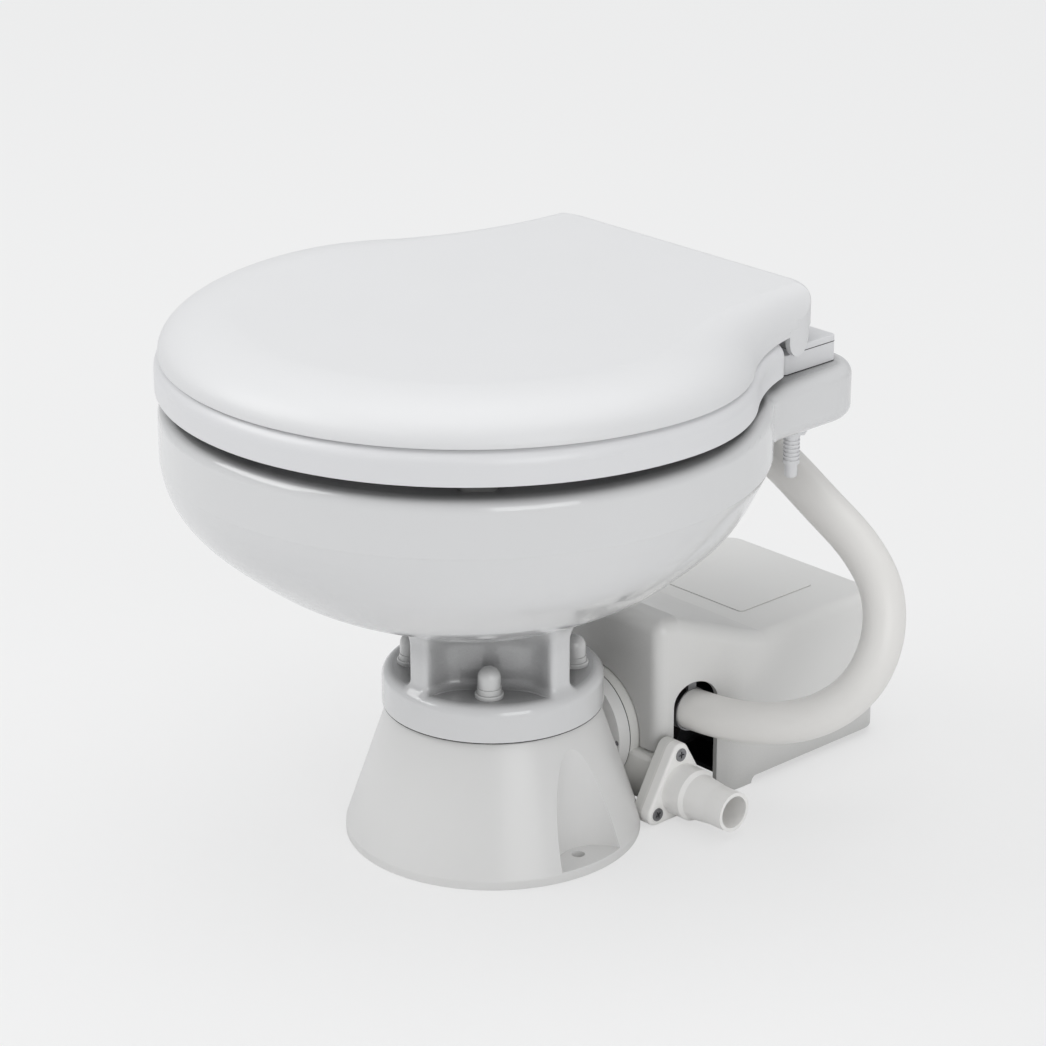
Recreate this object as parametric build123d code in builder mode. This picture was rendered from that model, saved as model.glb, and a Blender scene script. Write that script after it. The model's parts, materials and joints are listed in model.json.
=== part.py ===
from build123d import *
import math
import os

os.makedirs("parts", exist_ok=True)

# Electric marine toilet, in millimetres.
# The origin is the centre of the base on the floor. +Z is up, the front of the
# bowl is -Y and the discharge side is +X.

# Fits and cuts that several pieces share.
running_gap = 0.05
slip_gap = 0.1
seam_gap = 0.3
overrun = 5.0
quarter = 90
half = 180

# Base: a hollow cone with a flat rear face, a throat under the bowl and a duct
# that leads back to the macerating pump.
base_r = 90.0
base_edge_h = 5.0
base_top_r = 63.5
base_h = 83.5
base_wall = 4.0
base_top_t = 7.0
base_edge_round = 2.4
base_rear_y = 79.3
throat_r = 27.0
throat_wall = 4.0
throat_floor_z = 10.0
duct_r = 23.0
duct_wall = 4.0
axis_z = 43.0
rear_flange_r = 38.2
rear_flange_t = 9.0
floor_hole_x = 75.0
floor_hole_r = 4.0
pocket_floor_t = 6.0
pocket_r = 24.5
pocket_back_x = 67.3
pocket_wall = 3.5

# Bowl bolts stand on a circle at 45 degrees to the axes.
bolt_count = 4
bolt_circle_r = 49.0
bolt_r = 3.0
bolt_head_r = 5.5
bolt_head_h = 4.0
bolt_hole_r = bolt_r + slip_gap * 2
washer_r = 8.7
washer_t = 2.5
cap_nut_r = 6.9
cap_nut_h = 16.4
cap_nut_skirt_h = 3.4
cap_nut_skirt_r = 7.4
cap_nut_depth = 11.0
bolt_start_angle = 45

# Gasket between the base and the bowl's foot.
gasket_t = 1.0
gasket_r = 61.5

# Bowl: foot flange, four fins round the outlet neck, a round bowl whose
# sections drift forward, and a top band that carries the hinge deck.
foot_z = base_h + gasket_t
foot_r = 67.0
foot_t = 22.5
foot_round = 6.5
neck_r = 36.0
fin_t = 15.5
fin_r = 60.5
fin_round = 3.5
fin_hollow_r = 11.0
outlet_r = 26.0
band_bottom_z = 251.0
rim_z = 285.0
rim_round = 8.0
bowl_r = 178.5
bowl_drift = 20.0
deck_half_w = 124.0
deck_reach = 34.0
deck_rear_y = bowl_r - bowl_drift + deck_reach
deck_corner_r = 28.0
deck_bottom_round = 8.0
deck_round_angles = [0, 30, 60, 90]
crease_round = 16.0
bowl_low_z = 146.0
rim_open_in = 31.5
rim_open_r = bowl_r - rim_open_in
rim_lip_t = 14.0
rim_under_in = 14.5
rim_under_r = bowl_r - rim_under_in
rim_inner_round = 5.0
cavity_low_z = 148.0
# Height, forward drift and radius of the outer sections, as shares of the
# bowl's height below the band, its drift and its radius.
bowl_section_shares = [
    (0.00, 0.40, 0.235),
    (0.075, 0.70, 0.375),
    (0.19, 0.875, 0.518),
    (0.265, 0.925, 0.608),
    (0.345, 0.95, 0.688),
    (0.495, 1.025, 0.799),
    (0.65, 1.10, 0.894),
    (0.80, 1.15, 0.953),
    (0.91, 1.10, 0.982),
    (1.00, 1.00, 1.00),
]
# The same for the inner sections, over the height of the cavity, with the
# radius as a share of the space under the rim.
cavity_section_shares = [
    (0.00, 0.00, 0.159),
    (0.065, 0.40, 0.25),
    (0.135, 0.70, 0.40),
    (0.23, 0.875, 0.545),
    (0.30, 0.925, 0.635),
    (0.37, 0.95, 0.72),
    (0.48, 1.00, 0.835),
    (0.60, 1.05, 0.925),
    (0.73, 1.05, 0.98),
    (0.83, 1.02, 0.998),
    (1.00, 1.00, 1.00),
]
# Rear inlet boss, elbow, seal and nut.
inlet_z = 233.0
inlet_boss_r = 19.0
inlet_boss_in = 0.5
inlet_boss_y = bowl_r - bowl_drift - inlet_boss_in
inlet_bore_r = 10.5
inlet_depth = 40.0
seal_t = 1.5
elbow_reach = 13.5
elbow_y = inlet_boss_y + elbow_reach
elbow_ball_r = 11.4
elbow_round = 3.0
elbow_flange_r = 16.0
elbow_flange_t = 3.0
elbow_bore_r = 6.5

# Rinse hose: 19 mm bore.
hose_bore_r = 9.5
hose_r = 13.0
hose_route = [
    (101, 122, 61.5),
    (134, 138, 70),
    (157, 154, 91),
    (164, 167, 120),
    (156, 176, 150),
    (134, 178, 173),
    (102, 176, 192),
    (74, 177.5, 206.5),
]
hose_first_run = 27.2
hose_bend_share = 0.45
elbow_dir = (0.947, 0.114, -0.303)
elbow_hose_gap = 26.5
elbow_hose_run = 26.0
barb_fit = 0.05
barb_r = hose_bore_r - barb_fit
barb_length = 14.0
clamp_width = 9.0
clamp_t = 0.8
clamp_block = 7.0
clamp_setback = 9.0

# Seat: a moulded ring with a hollow underside, on four rubber bumpers.
seat_outset = 2.4
seat_bottom_z = 293.0
seat_t = 20.0
seat_top_z = seat_bottom_z + seat_t
seat_rear_y = 119.5
seat_corner_r = 11.0
seat_wall = 4.0
seat_outer_round = 8.5
seat_hole_half_w = 108.0
seat_hole_front_y = -147.0
seat_hole_rear_y = 92.0
seat_inner_round = 7.0
bumper_in = 18.5
bumper_circle_r = bowl_r - bumper_in
bumper_angles = [40, 140, 220, 320]
bumper_half_l = 11.0
bumper_half_w = 6.0
bumper_round = 5.0

# Plan outline that the lid and seat share: a round front, a tighter side arc
# on each side, a hollow shoulder and a straight run to the rear.
plan_centre_y = -17.2
plan_overhang = 1.1
plan_r = bowl_r + plan_overhang
plan_side_r = 125.0
plan_end_x = 117.0
plan_end_y = 154.7

# Lid: a shell with an elliptical edge, whose sides turn down beside the hinge
# blocks in two rounded ears.
lid_bottom_z = seat_top_z + 0.5
lid_edge_w = 45.0
lid_edge_h = 22.5
lid_edge_angles = [0, 18, 36, 56, 74, 90]
lid_rear_edge_share = 0.45
lid_rear_gap_half_w = 99.5
lid_rear_y = 163.0
lid_corner_r = 29.0
lid_rear_round = 9.0
lid_wall = 3.6
ear_y = 136.0
ear_z = 310.6
ear_r = 11.6
lip_z = 329.0
lid_bumper_r = 6.0
lid_bumper_x = 98.0
lid_bumper_y = -112.0

# Hinge: blocks on the deck carry goosenecks that reach up inside the lid, so
# that the pin line lies high enough for the lid to fall right back.
pin_y = 153.0
pin_z = 322.0
pin_r = 3.0
pin_inner_x = 61.0
knuckle_r = 5.8
block_x = 96.0
block_half_w = 13.0
block_front_y = 132.5
block_rear_y = 177.0
block_h = 12.3
block_round = 2.5
cap_t = 4.0
cap_front_y = 143.4
neck_in_x = 88.0
neck_out_x = 97.0
neck_rear_y = 141.6
neck_link_drop = 3.0
seat_lug_in_x = 75.0
seat_lug_out_x = 86.0
lid_lug_in_x = 63.0
lid_lug_out_x = 72.0
lug_half_y = 4.0
stud_y = 155.0
stud_r = 5.0
stud_tip_r = 3.9
stud_end_z = 222.0
stud_tip_z = 213.0
stud_hole_r = 6.0
stud_head_r = 8.5
stud_head_h = 5.0
stud_chamfer = 1.2
thread_pitch = 2.5
thread_depth = 0.6
nut_r = 10.0
nut_h = 9.0

# Pump line, front to back along the pump axis.
volute_gasket_t = 0.8
volute_front_y = base_rear_y + volute_gasket_t
volute_depth = 21.0
volute_r = 38.2
volute_wall = 5.0
volute_front_t = 3.2
seal_plate_t = 2.6
pump_length = 20.0
pump_r = 30.0
pump_wall_t = 3.0
pump_cavity_r = 21.0
end_plate_t = 3.0
plate_end_y = volute_front_y + volute_depth + seal_plate_t
pump_end_y = plate_end_y + pump_length
outlet_half_w = 9.6
outlet_top_z = 36.0
outlet_bottom_z = 5.2
outlet_round = 3.0
outlet_face_x = 63.4
outlet_lip_t = 5.4
outlet_bore_r = 8.5
discharge_z = 18.9
discharge_y = volute_front_y + outlet_half_w
port_y = 113.7
port_z = 60.0
port_bore_r = 5.0
port_boss_r = 9.7
port_boss_x = 39.0
intake_length = 46.0
housing_screw_r = 1.6
housing_screw_circle_r = 35.6
housing_screw_count = 3
housing_screw_start = 0
housing_screw_head_r = 3.2
housing_screw_head_h = 2.4

# Discharge flange: rounded triangle with a stepped spigot.
triangle_count = 3
triangle_circle_r = 22.6
triangle_corner_r = 7.4
valve_t = 1.6
flange_t = 7.0
spigot_root_r = 16.2
spigot_root_length = 13.5
spigot_step_r = 14.3
spigot_step_length = 2.5
spigot_r = 12.5
spigot_end_x = 117.5
spigot_straight = 14.0
spigot_bore_r = 10.2
valve_room_r = 13.6
valve_room_length = 15.0
flange_round = 2.0
flange_screw_r = 2.0
flange_screw_head_r = 4.1
flange_screw_head_h = 2.4
flange_screw_depth = 1.8
flange_screw_length = 11.5
cross_l = 4.4
cross_w = 1.1
cross_d = 1.3
bill_length = 12.0
bill_tip_t = 2.4
bill_slit = 0.8

# Rotor.
shaft_r = 4.0
shaft_front_y = volute_front_y + volute_front_t + 0.6
chopper_t = 2.0
chopper_r = 20.0
chopper_hub_r = 8.0
impeller_back_t = 2.2
impeller_blade_h = 8.6
impeller_r = 30.0
impeller_blades = 5
impeller_blade_t = 2.6
vane_count = 8
vane_t = 2.0
vane_r = 19.6
vane_hub_r = 9.0
vane_length = 13.4
vane_tip_r = 1.5
cam_t = 1.0
cam_arc = 70
rotor_side_gap = 0.6

# Motor.
bell_t = 7.0
can_length = 90.0
motor_r = 36.0
can_wall = 2.5
end_cap_t = 10.0
bearing_r = 9.0
bearing_w = 5.0
armature_r = 24.0
armature_length = 55.0
armature_start = 14.0
armature_slots = 12
armature_slot_w = 2.4
armature_slot_d = 5.0
commutator_r = 10.0
commutator_length = 11.0
magnet_t = 7.0
magnet_arc = 120
magnet_length = 55.0
brush_w = 6.0
brush_card_t = 6.0
brush_card_bore_r = 16.2
motor_bolt_x = 30.0
motor_bolt_r = 2.0
motor_bolt_head_r = 3.6
motor_bolt_head_h = 2.6
bell_start_y = pump_end_y + end_plate_t
can_start_y = bell_start_y + bell_t
can_end_y = can_start_y + can_length
motor_end_y = can_end_y + end_cap_t

# Bracket under the motor, with an upright tab for the cover's screws.
bracket_t = 3.0
bracket_half_w = 54.0
bracket_front_y = 150.0
bracket_rear_y = 271.5
saddle_y = 176.0
saddle_gap = 34.0
saddle_t = 5.0
saddle_half_w = 30.0
saddle_top_z = 34.0
tab_half_w = 32.0
tab_top_z = 40.0
bracket_hole_r = 3.0
bracket_hole_x = 46.0
bracket_hole_front_y = 166.0
bracket_hole_rear_y = 250.0
bracket_corner_r = 6.0

# Motor cover: a shell with a raised front, tapered front cheeks and a slot for
# a hose on each side.
cover_front_y = 86.6
cover_front_half_w = 54.0
cover_half_w = 69.5
cover_widen_y = 141.0
cover_rear_y = 278.0
cover_wall = 3.0
cover_front_top_z = 123.0
cover_rear_top_z = 98.0
cover_hump_y = 104.0
cover_flat_y = 168.0
cover_front_corner_r = 9.0
cover_mid_corner_r = 40.0
cover_rear_corner_r = 17.0
cover_top_round = 9.0
cover_inner_round = 6.0
cover_rear_lift = 4.4
cover_foot_end_y = 156.0
cover_foot_round = 4.2
slot_y = 113.0
slot_half_w = 15.0
slot_top_z = 80.0
outlet_clear = 1.2
cover_screw_x = 20.0
cover_screw_z = 28.0
cover_screw_r = 1.8
cover_screw_head_r = 3.6
cover_screw_head_h = 2.2
cover_boss_r = 5.5
cover_pad_w = 68.0
cover_pad_l = 66.0
cover_pad_y = 214.0
cover_pad_h = 0.5
cover_pad_round = 3.0
grommet_x = -44.0
grommet_z = 30.0
grommet_r = 7.0
grommet_lip = 2.0
grommet_bore_r = 4.0


def plan_outline(inset, rear_inset, rear_y):
    """Closed plan outline of the lid and seat, ended at rear_y. It is moved in
    by inset round the front and by rear_inset at the rear."""
    side_x = plan_r - plan_side_r
    side_r = plan_side_r - inset
    reach = plan_end_x - rear_inset - side_x
    rise = plan_end_y - plan_centre_y
    shoulder_r = (reach**2 + rise**2 - side_r**2) / (2 * (side_r - reach))
    turn = math.degrees(math.atan2(rise, reach + shoulder_r))
    end_turn = math.degrees(math.asin(max(0, plan_end_y - rear_y) / shoulder_r))
    with BuildLine() as outline:
        CenterArc((0, plan_centre_y), plan_r - inset, -quarter, quarter)
        CenterArc((side_x, plan_centre_y), side_r, 0, turn)
        shoulder_x = side_x + reach + shoulder_r
        arc = CenterArc((shoulder_x, plan_end_y), shoulder_r, half + turn, end_turn - turn)
        if rear_y > plan_end_y:
            Line(arc @ 1, ((arc @ 1).X, rear_y))
        Line(((arc @ 1).X, rear_y), (0, rear_y))
        mirror(about=Plane.YZ)
    make_face(outline.edges())


def rear_mask(inset, top_z, rounding):
    """Block that trims a lid loft to its rear edge, with rounded rear corners
    and top edge."""
    with BuildPart() as mask:
        with BuildSketch(Plane.XY):
            with Locations((0, lid_rear_y - lid_corner_r)):
                Rectangle(plan_r * 3, plan_r * 3, align=(Align.CENTER, Align.MAX))
            with Locations((0, lid_rear_y - inset - plan_r)):
                RectangleRounded((plan_end_x - inset) * 2, plan_r * 2, lid_corner_r - inset)
        extrude(amount=top_z)
        rear_edges = edges().filter_by(lambda e: e.center().Y > lid_rear_y - lid_corner_r + overrun)
        fillet(rear_edges.filter_by(lambda e: abs(e.center().Z - top_z) < slip_gap), rounding)
    return mask.part


def at_axis(y):
    """Plane across the pump axis at y, facing the front of the toilet."""
    return Plane(origin=(0, y, axis_z), x_dir=(1, 0, 0), z_dir=(0, -1, 0))


def at_x(x, y=0.0, z=0.0):
    """Plane across X, with its own x along +Y and its own y along +Z."""
    return Plane(origin=(x, y, z), x_dir=(0, 1, 0), z_dir=(1, 0, 0))


def finish(builder, name):
    """Label a finished piece and write its file."""
    builder.part.label = name
    export_step(builder.part, "parts/" + name + ".step")


# Base, with a notch that clears the discharge flange.
pocket_x = pocket_back_x + pocket_r
notch_x = outlet_face_x - outlet_lip_t - outlet_clear
notch_y = discharge_y - triangle_circle_r - triangle_corner_r + outlet_clear
with BuildPart() as base_hollow:
    with BuildSketch(Plane.XZ):
        with BuildLine():
            Polyline(
                (0, -overrun),
                (base_r - base_wall, -overrun),
                (base_r - base_wall, base_edge_h),
                (base_top_r - base_wall, base_h - base_top_t),
                (0, base_h - base_top_t),
                close=True,
            )
        make_face()
    revolve(axis=Axis.Z)
    with BuildSketch(Plane.XY.offset(-overrun)):
        with Locations((pocket_x, 0), (-pocket_x, 0)):
            Circle(pocket_r + pocket_wall)
    extrude(amount=base_h + overrun, mode=Mode.SUBTRACT)
    with BuildSketch(Plane.XY.offset(throat_floor_z - throat_wall)):
        Circle(throat_r + throat_wall)
    extrude(amount=base_h, mode=Mode.SUBTRACT)
    with BuildSketch(at_axis(base_rear_y)):
        Circle(duct_r + duct_wall)
    extrude(amount=base_rear_y, mode=Mode.SUBTRACT)
    with BuildSketch(at_axis(base_r)):
        Rectangle(base_r * 2, base_r * 2)
    extrude(amount=base_r - base_rear_y + base_wall, mode=Mode.SUBTRACT)
with BuildPart() as base:
    with BuildSketch(Plane.XZ):
        with BuildLine():
            Polyline(
                (0, 0),
                (base_r, 0),
                (base_r, base_edge_h),
                (base_top_r, base_h),
                (0, base_h),
                close=True,
            )
        make_face()
    revolve(axis=Axis.Z)
    fillet(base.edges().filter_by(GeomType.CIRCLE).group_by(Axis.Z)[-1], base_edge_round)
    fillet(base.edges().filter_by(GeomType.CIRCLE).group_by(Axis.Z)[1], base_edge_round)
    add(base_hollow.part, mode=Mode.SUBTRACT)
    with BuildSketch(at_axis(base_rear_y)):
        Circle(rear_flange_r)
    extrude(amount=rear_flange_t)
    with BuildSketch(at_axis(base_r + overrun)):
        Rectangle(base_r * 2, base_r * 3)
    extrude(amount=base_r + overrun - base_rear_y, mode=Mode.SUBTRACT)
    with BuildSketch(Plane.XY.offset(pocket_floor_t)):
        with Locations((pocket_x, 0), (-pocket_x, 0)):
            Circle(pocket_r)
    extrude(amount=base_h, mode=Mode.SUBTRACT)
    with BuildSketch(Plane.XY.offset(throat_floor_z)):
        Circle(throat_r)
    extrude(amount=base_h, mode=Mode.SUBTRACT)
    with BuildSketch(at_axis(base_rear_y)):
        Circle(duct_r)
    extrude(amount=base_rear_y, mode=Mode.SUBTRACT)
    with BuildSketch(Plane.XY):
        with Locations((floor_hole_x, 0), (-floor_hole_x, 0)):
            Circle(floor_hole_r)
    extrude(amount=pocket_floor_t, mode=Mode.SUBTRACT)
    with BuildSketch(Plane.XY):
        with Locations((notch_x, notch_y)):
            Rectangle(base_r, base_r, align=(Align.MIN, Align.MIN))
    extrude(amount=discharge_z, mode=Mode.SUBTRACT)
    with BuildSketch(Plane.XY.offset(base_h - base_top_t)):
        with PolarLocations(bolt_circle_r, bolt_count, start_angle=bolt_start_angle):
            Circle(bolt_hole_r)
    extrude(amount=base_top_t, mode=Mode.SUBTRACT)
    with BuildSketch(at_axis(base_rear_y)):
        with PolarLocations(housing_screw_circle_r, housing_screw_count, start_angle=housing_screw_start):
            Circle(housing_screw_r + slip_gap)
    extrude(amount=rear_flange_t, mode=Mode.SUBTRACT)
finish(base, "base")

with BuildPart() as bowl_gasket:
    with BuildSketch(Plane.XY.offset(base_h)):
        Circle(gasket_r)
        Circle(throat_r, mode=Mode.SUBTRACT)
        with PolarLocations(bolt_circle_r, bolt_count, start_angle=bolt_start_angle):
            Circle(bolt_hole_r, mode=Mode.SUBTRACT)
    extrude(amount=gasket_t)
finish(bowl_gasket, "bowl_gasket")

# Bowl.
def band_outline(inset):
    """Plan of the bowl's top band and its deck, whose sides and rear are moved
    in by inset."""
    with Locations((0, -bowl_drift)):
        Circle(bowl_r)
    Rectangle((deck_half_w - inset) * 2, deck_rear_y - inset, align=(Align.CENTER, Align.MIN))
    fillet(vertices().group_by(Axis.Y)[-1], deck_corner_r - inset)
    creases = vertices().filter_by(lambda v: abs(v.X) > deck_half_w - inset - slip_gap)
    side_start_y = math.sqrt(bowl_r**2 - (deck_half_w - inset) ** 2) - bowl_drift
    side_run = deck_rear_y - deck_corner_r - side_start_y
    fillet(creases.sort_by(Axis.Y)[0:2], min(crease_round, side_run))


foot_top_z = foot_z + foot_t
with BuildPart() as bowl_cavity:
    cavity_top_z = rim_z - rim_lip_t
    for height_share, drift_share, radius_share in cavity_section_shares:
        section_z = cavity_low_z + (cavity_top_z - cavity_low_z) * height_share
        with BuildSketch(Plane.XY.offset(section_z)):
            with Locations((0, -bowl_drift * drift_share)):
                Circle(rim_under_r * radius_share)
    loft()
    with BuildSketch(Plane.XY.offset(cavity_top_z - rim_inner_round)):
        with Locations((0, -bowl_drift)):
            Circle(rim_open_r)
    extrude(amount=rim_lip_t + rim_inner_round + overrun)
    with BuildSketch(Plane.XY.offset(foot_z - overrun)):
        Circle(outlet_r)
    extrude(amount=cavity_low_z - foot_z + overrun * 2)
with BuildPart() as bowl:
    for height_share, drift_share, radius_share in bowl_section_shares:
        section_z = bowl_low_z + (band_bottom_z - bowl_low_z) * height_share
        with BuildSketch(Plane.XY.offset(section_z)):
            with Locations((0, -bowl_drift * drift_share)):
                Circle(bowl_r * radius_share)
    loft()
    for angle in deck_round_angles:
        turn = math.radians(angle)
        with BuildSketch(Plane.XY.offset(band_bottom_z + deck_bottom_round * (1 - math.cos(turn)))):
            band_outline(deck_bottom_round * (1 - math.sin(turn)))
    loft()
    with BuildSketch(Plane.XY.offset(band_bottom_z + deck_bottom_round)):
        band_outline(0)
    extrude(amount=rim_z - band_bottom_z - deck_bottom_round)
    fillet(faces().sort_by(Axis.Z)[-1].outer_wire().edges(), rim_round)
    with BuildSketch(Plane.XY.offset(foot_z)):
        Circle(foot_r)
    extrude(amount=foot_t)
    foot_edge = edges().filter_by(GeomType.CIRCLE).filter_by(lambda e: abs(e.radius - foot_r) < slip_gap)
    fillet(foot_edge.sort_by(Axis.Z)[-1], foot_round)
    with BuildSketch(Plane.XY.offset(foot_z)):
        Circle(neck_r)
        Rectangle(fin_r * 2, fin_t)
        Rectangle(fin_t, fin_r * 2)
        fillet(vertices().filter_by(lambda v: math.hypot(v.X, v.Y) < fin_r), fin_hollow_r)
        fillet(vertices().filter_by(lambda v: math.hypot(v.X, v.Y) > fin_r), fin_round)
    extrude(amount=bowl_low_z - foot_z + overrun)
    with BuildSketch(Plane.XZ.offset(-inlet_boss_y)):
        with Locations((0, inlet_z)):
            Circle(inlet_boss_r)
    extrude(amount=inlet_depth)
    add(bowl_cavity.part, mode=Mode.SUBTRACT)
    with BuildSketch(Plane.XZ.offset(-inlet_boss_y)):
        with Locations((0, inlet_z)):
            Circle(inlet_bore_r)
    extrude(amount=inlet_depth, mode=Mode.SUBTRACT)
    with BuildSketch(Plane.XY.offset(foot_z)):
        with PolarLocations(bolt_circle_r, bolt_count, start_angle=bolt_start_angle):
            Circle(bolt_hole_r)
    extrude(amount=foot_t, mode=Mode.SUBTRACT)
    with BuildSketch(Plane.XY.offset(band_bottom_z)):
        with Locations((block_x, stud_y), (-block_x, stud_y)):
            Circle(stud_hole_r)
    extrude(amount=rim_z - band_bottom_z, mode=Mode.SUBTRACT)
    with BuildSketch(Plane.XY.offset(stud_tip_z)):
        with Locations((block_x, stud_y), (-block_x, stud_y)):
            Circle(nut_r + seam_gap)
    extrude(amount=band_bottom_z - stud_tip_z, mode=Mode.SUBTRACT)
finish(bowl, "bowl")
print("bowl volume", round(bowl.part.volume))

# Bolts that clamp the bowl to the base, with plastic washers and cap nuts.
nut_seat_z = foot_top_z + washer_t
with BuildPart() as bowl_bolts:
    with BuildSketch(Plane.XY.offset(base_h - base_top_t - bolt_head_h)):
        with PolarLocations(bolt_circle_r, bolt_count, start_angle=bolt_start_angle):
            RegularPolygon(bolt_head_r, 6)
    extrude(amount=bolt_head_h)
    with BuildSketch(Plane.XY.offset(base_h - base_top_t)):
        with PolarLocations(bolt_circle_r, bolt_count, start_angle=bolt_start_angle):
            Circle(bolt_r)
    extrude(amount=nut_seat_z + cap_nut_depth - seam_gap - base_h + base_top_t)
finish(bowl_bolts, "bowl_bolts")

with BuildPart() as bowl_washers:
    with BuildSketch(Plane.XY.offset(foot_top_z)):
        with PolarLocations(bolt_circle_r, bolt_count, start_angle=bolt_start_angle):
            Circle(washer_r)
            Circle(bolt_hole_r, mode=Mode.SUBTRACT)
    extrude(amount=washer_t)
    fillet(edges().filter_by(GeomType.CIRCLE).group_by(Axis.Z)[-1].group_by(SortBy.RADIUS)[-1], washer_t / 3)
finish(bowl_washers, "bowl_washers")

with BuildPart() as cap_nuts:
    with PolarLocations(bolt_circle_r, bolt_count, start_angle=bolt_start_angle):
        with Locations((0, 0, nut_seat_z)):
            Cylinder(cap_nut_skirt_r, cap_nut_skirt_h, align=(Align.CENTER, Align.CENTER, Align.MIN))
            Cylinder(cap_nut_r, cap_nut_h - cap_nut_r, align=(Align.CENTER, Align.CENTER, Align.MIN))
        with Locations((0, 0, nut_seat_z + cap_nut_h - cap_nut_r)):
            Sphere(cap_nut_r)
    with PolarLocations(bolt_circle_r, bolt_count, start_angle=bolt_start_angle):
        with Locations((0, 0, nut_seat_z)):
            Cylinder(bolt_r, cap_nut_depth, align=(Align.CENTER, Align.CENTER, Align.MIN), mode=Mode.SUBTRACT)
finish(cap_nuts, "bowl_cap_nuts")

# Seat.
seat_hole_l = seat_hole_rear_y - seat_hole_front_y
seat_hole_y = (seat_hole_rear_y + seat_hole_front_y) / 2
with BuildPart() as seat_pocket:
    with BuildSketch(Plane.XY.offset(seat_bottom_z)):
        plan_outline(seat_wall - seat_outset, seat_wall - seat_outset, seat_rear_y - seat_wall)
        with Locations((0, seat_hole_y)):
            Ellipse(seat_hole_half_w + seat_wall, seat_hole_l / 2 + seat_wall, mode=Mode.SUBTRACT)
    extrude(amount=seat_t - seat_wall)
with BuildPart() as seat:
    with BuildSketch(Plane.XY.offset(seat_bottom_z)):
        plan_outline(-seat_outset, -seat_outset, seat_rear_y)
        seat_corners = vertices().group_by(Axis.Y)[-1].sort_by(Axis.X)
        fillet([seat_corners[0], seat_corners[-1]], seat_corner_r)
        with Locations((0, seat_hole_y)):
            Ellipse(seat_hole_half_w, seat_hole_l / 2, mode=Mode.SUBTRACT)
    extrude(amount=seat_t)
    seat_top = faces().sort_by(Axis.Z)[-1]
    fillet(seat_top.outer_wire().edges(), seat_outer_round)
    fillet(faces().sort_by(Axis.Z)[-1].inner_wires().edges(), seat_inner_round)
    add(seat_pocket.part, mode=Mode.SUBTRACT)
    for side in (1, -1):
        near_x = seat_lug_in_x if side > 0 else -seat_lug_out_x
        with BuildSketch(at_x(near_x)):
            with BuildLine():
                Polyline(
                    (seat_rear_y - seat_wall, seat_top_z - seat_outer_round * 2),
                    (seat_rear_y + seat_wall, seat_top_z - seat_outer_round),
                    (pin_y, pin_z - knuckle_r),
                    (pin_y, pin_z + knuckle_r),
                    (pin_y - knuckle_r, pin_z + knuckle_r),
                    (seat_rear_y - seat_wall, seat_top_z - seat_wall / 2),
                    close=True,
                )
            make_face()
            with Locations((pin_y, pin_z)):
                Circle(knuckle_r)
                Circle(pin_r + running_gap, mode=Mode.SUBTRACT)
        extrude(amount=seat_lug_out_x - seat_lug_in_x)
finish(seat, "seat")

with BuildPart() as seat_bumpers:
    with BuildSketch(Plane.XY.offset(rim_z)):
        for angle in bumper_angles:
            with Locations((0, -bowl_drift)):
                with PolarLocations(bumper_circle_r, 1, start_angle=angle):
                    RectangleRounded(bumper_half_w * 2, bumper_half_l * 2, bumper_round)
    extrude(amount=seat_top_z - seat_wall - rim_z)
finish(seat_bumpers, "seat_bumpers")

# Lid.
lid_top_z = lid_bottom_z + lid_edge_h
inner_top_z = lid_top_z - lid_wall
inner_mask = rear_mask(lid_wall, inner_top_z, lid_rear_round - lid_wall / 2)
outer_mask = rear_mask(0, lid_top_z, lid_rear_round)
with BuildPart() as lid_hollow:
    for angle in lid_edge_angles:
        turn = math.radians(angle)
        edge_in = lid_edge_w * (1 - math.cos(turn))
        with BuildSketch(Plane.XY.offset(lid_bottom_z + (lid_edge_h - lid_wall) * math.sin(turn))):
            plan_outline(lid_wall + edge_in, lid_wall + edge_in * lid_rear_edge_share, deck_rear_y)
    loft()
    add(inner_mask, mode=Mode.INTERSECT)
with BuildPart() as ear_core:
    with BuildSketch(Plane.XY.offset(ear_z - ear_r)):
        plan_outline(lid_wall, lid_wall, deck_rear_y)
    extrude(amount=ear_r * 2 + lid_wall)
    add(inner_mask, mode=Mode.INTERSECT)
with BuildPart() as lid_ears:
    with BuildSketch(Plane.XY.offset(ear_z - ear_r)):
        plan_outline(0, 0, deck_rear_y)
    extrude(amount=lid_bottom_z + lid_wall - ear_z + ear_r)
    add(outer_mask, mode=Mode.INTERSECT)
    add(ear_core.part, mode=Mode.SUBTRACT)
    with BuildSketch(at_x(-plan_r)):
        with Locations((ear_y, ear_z)):
            Circle(ear_r)
        with Locations((ear_y, ear_z)):
            Rectangle(ear_r * 2, ear_r, align=(Align.CENTER, Align.MIN))
    extrude(amount=plan_r * 2, mode=Mode.INTERSECT)
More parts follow.
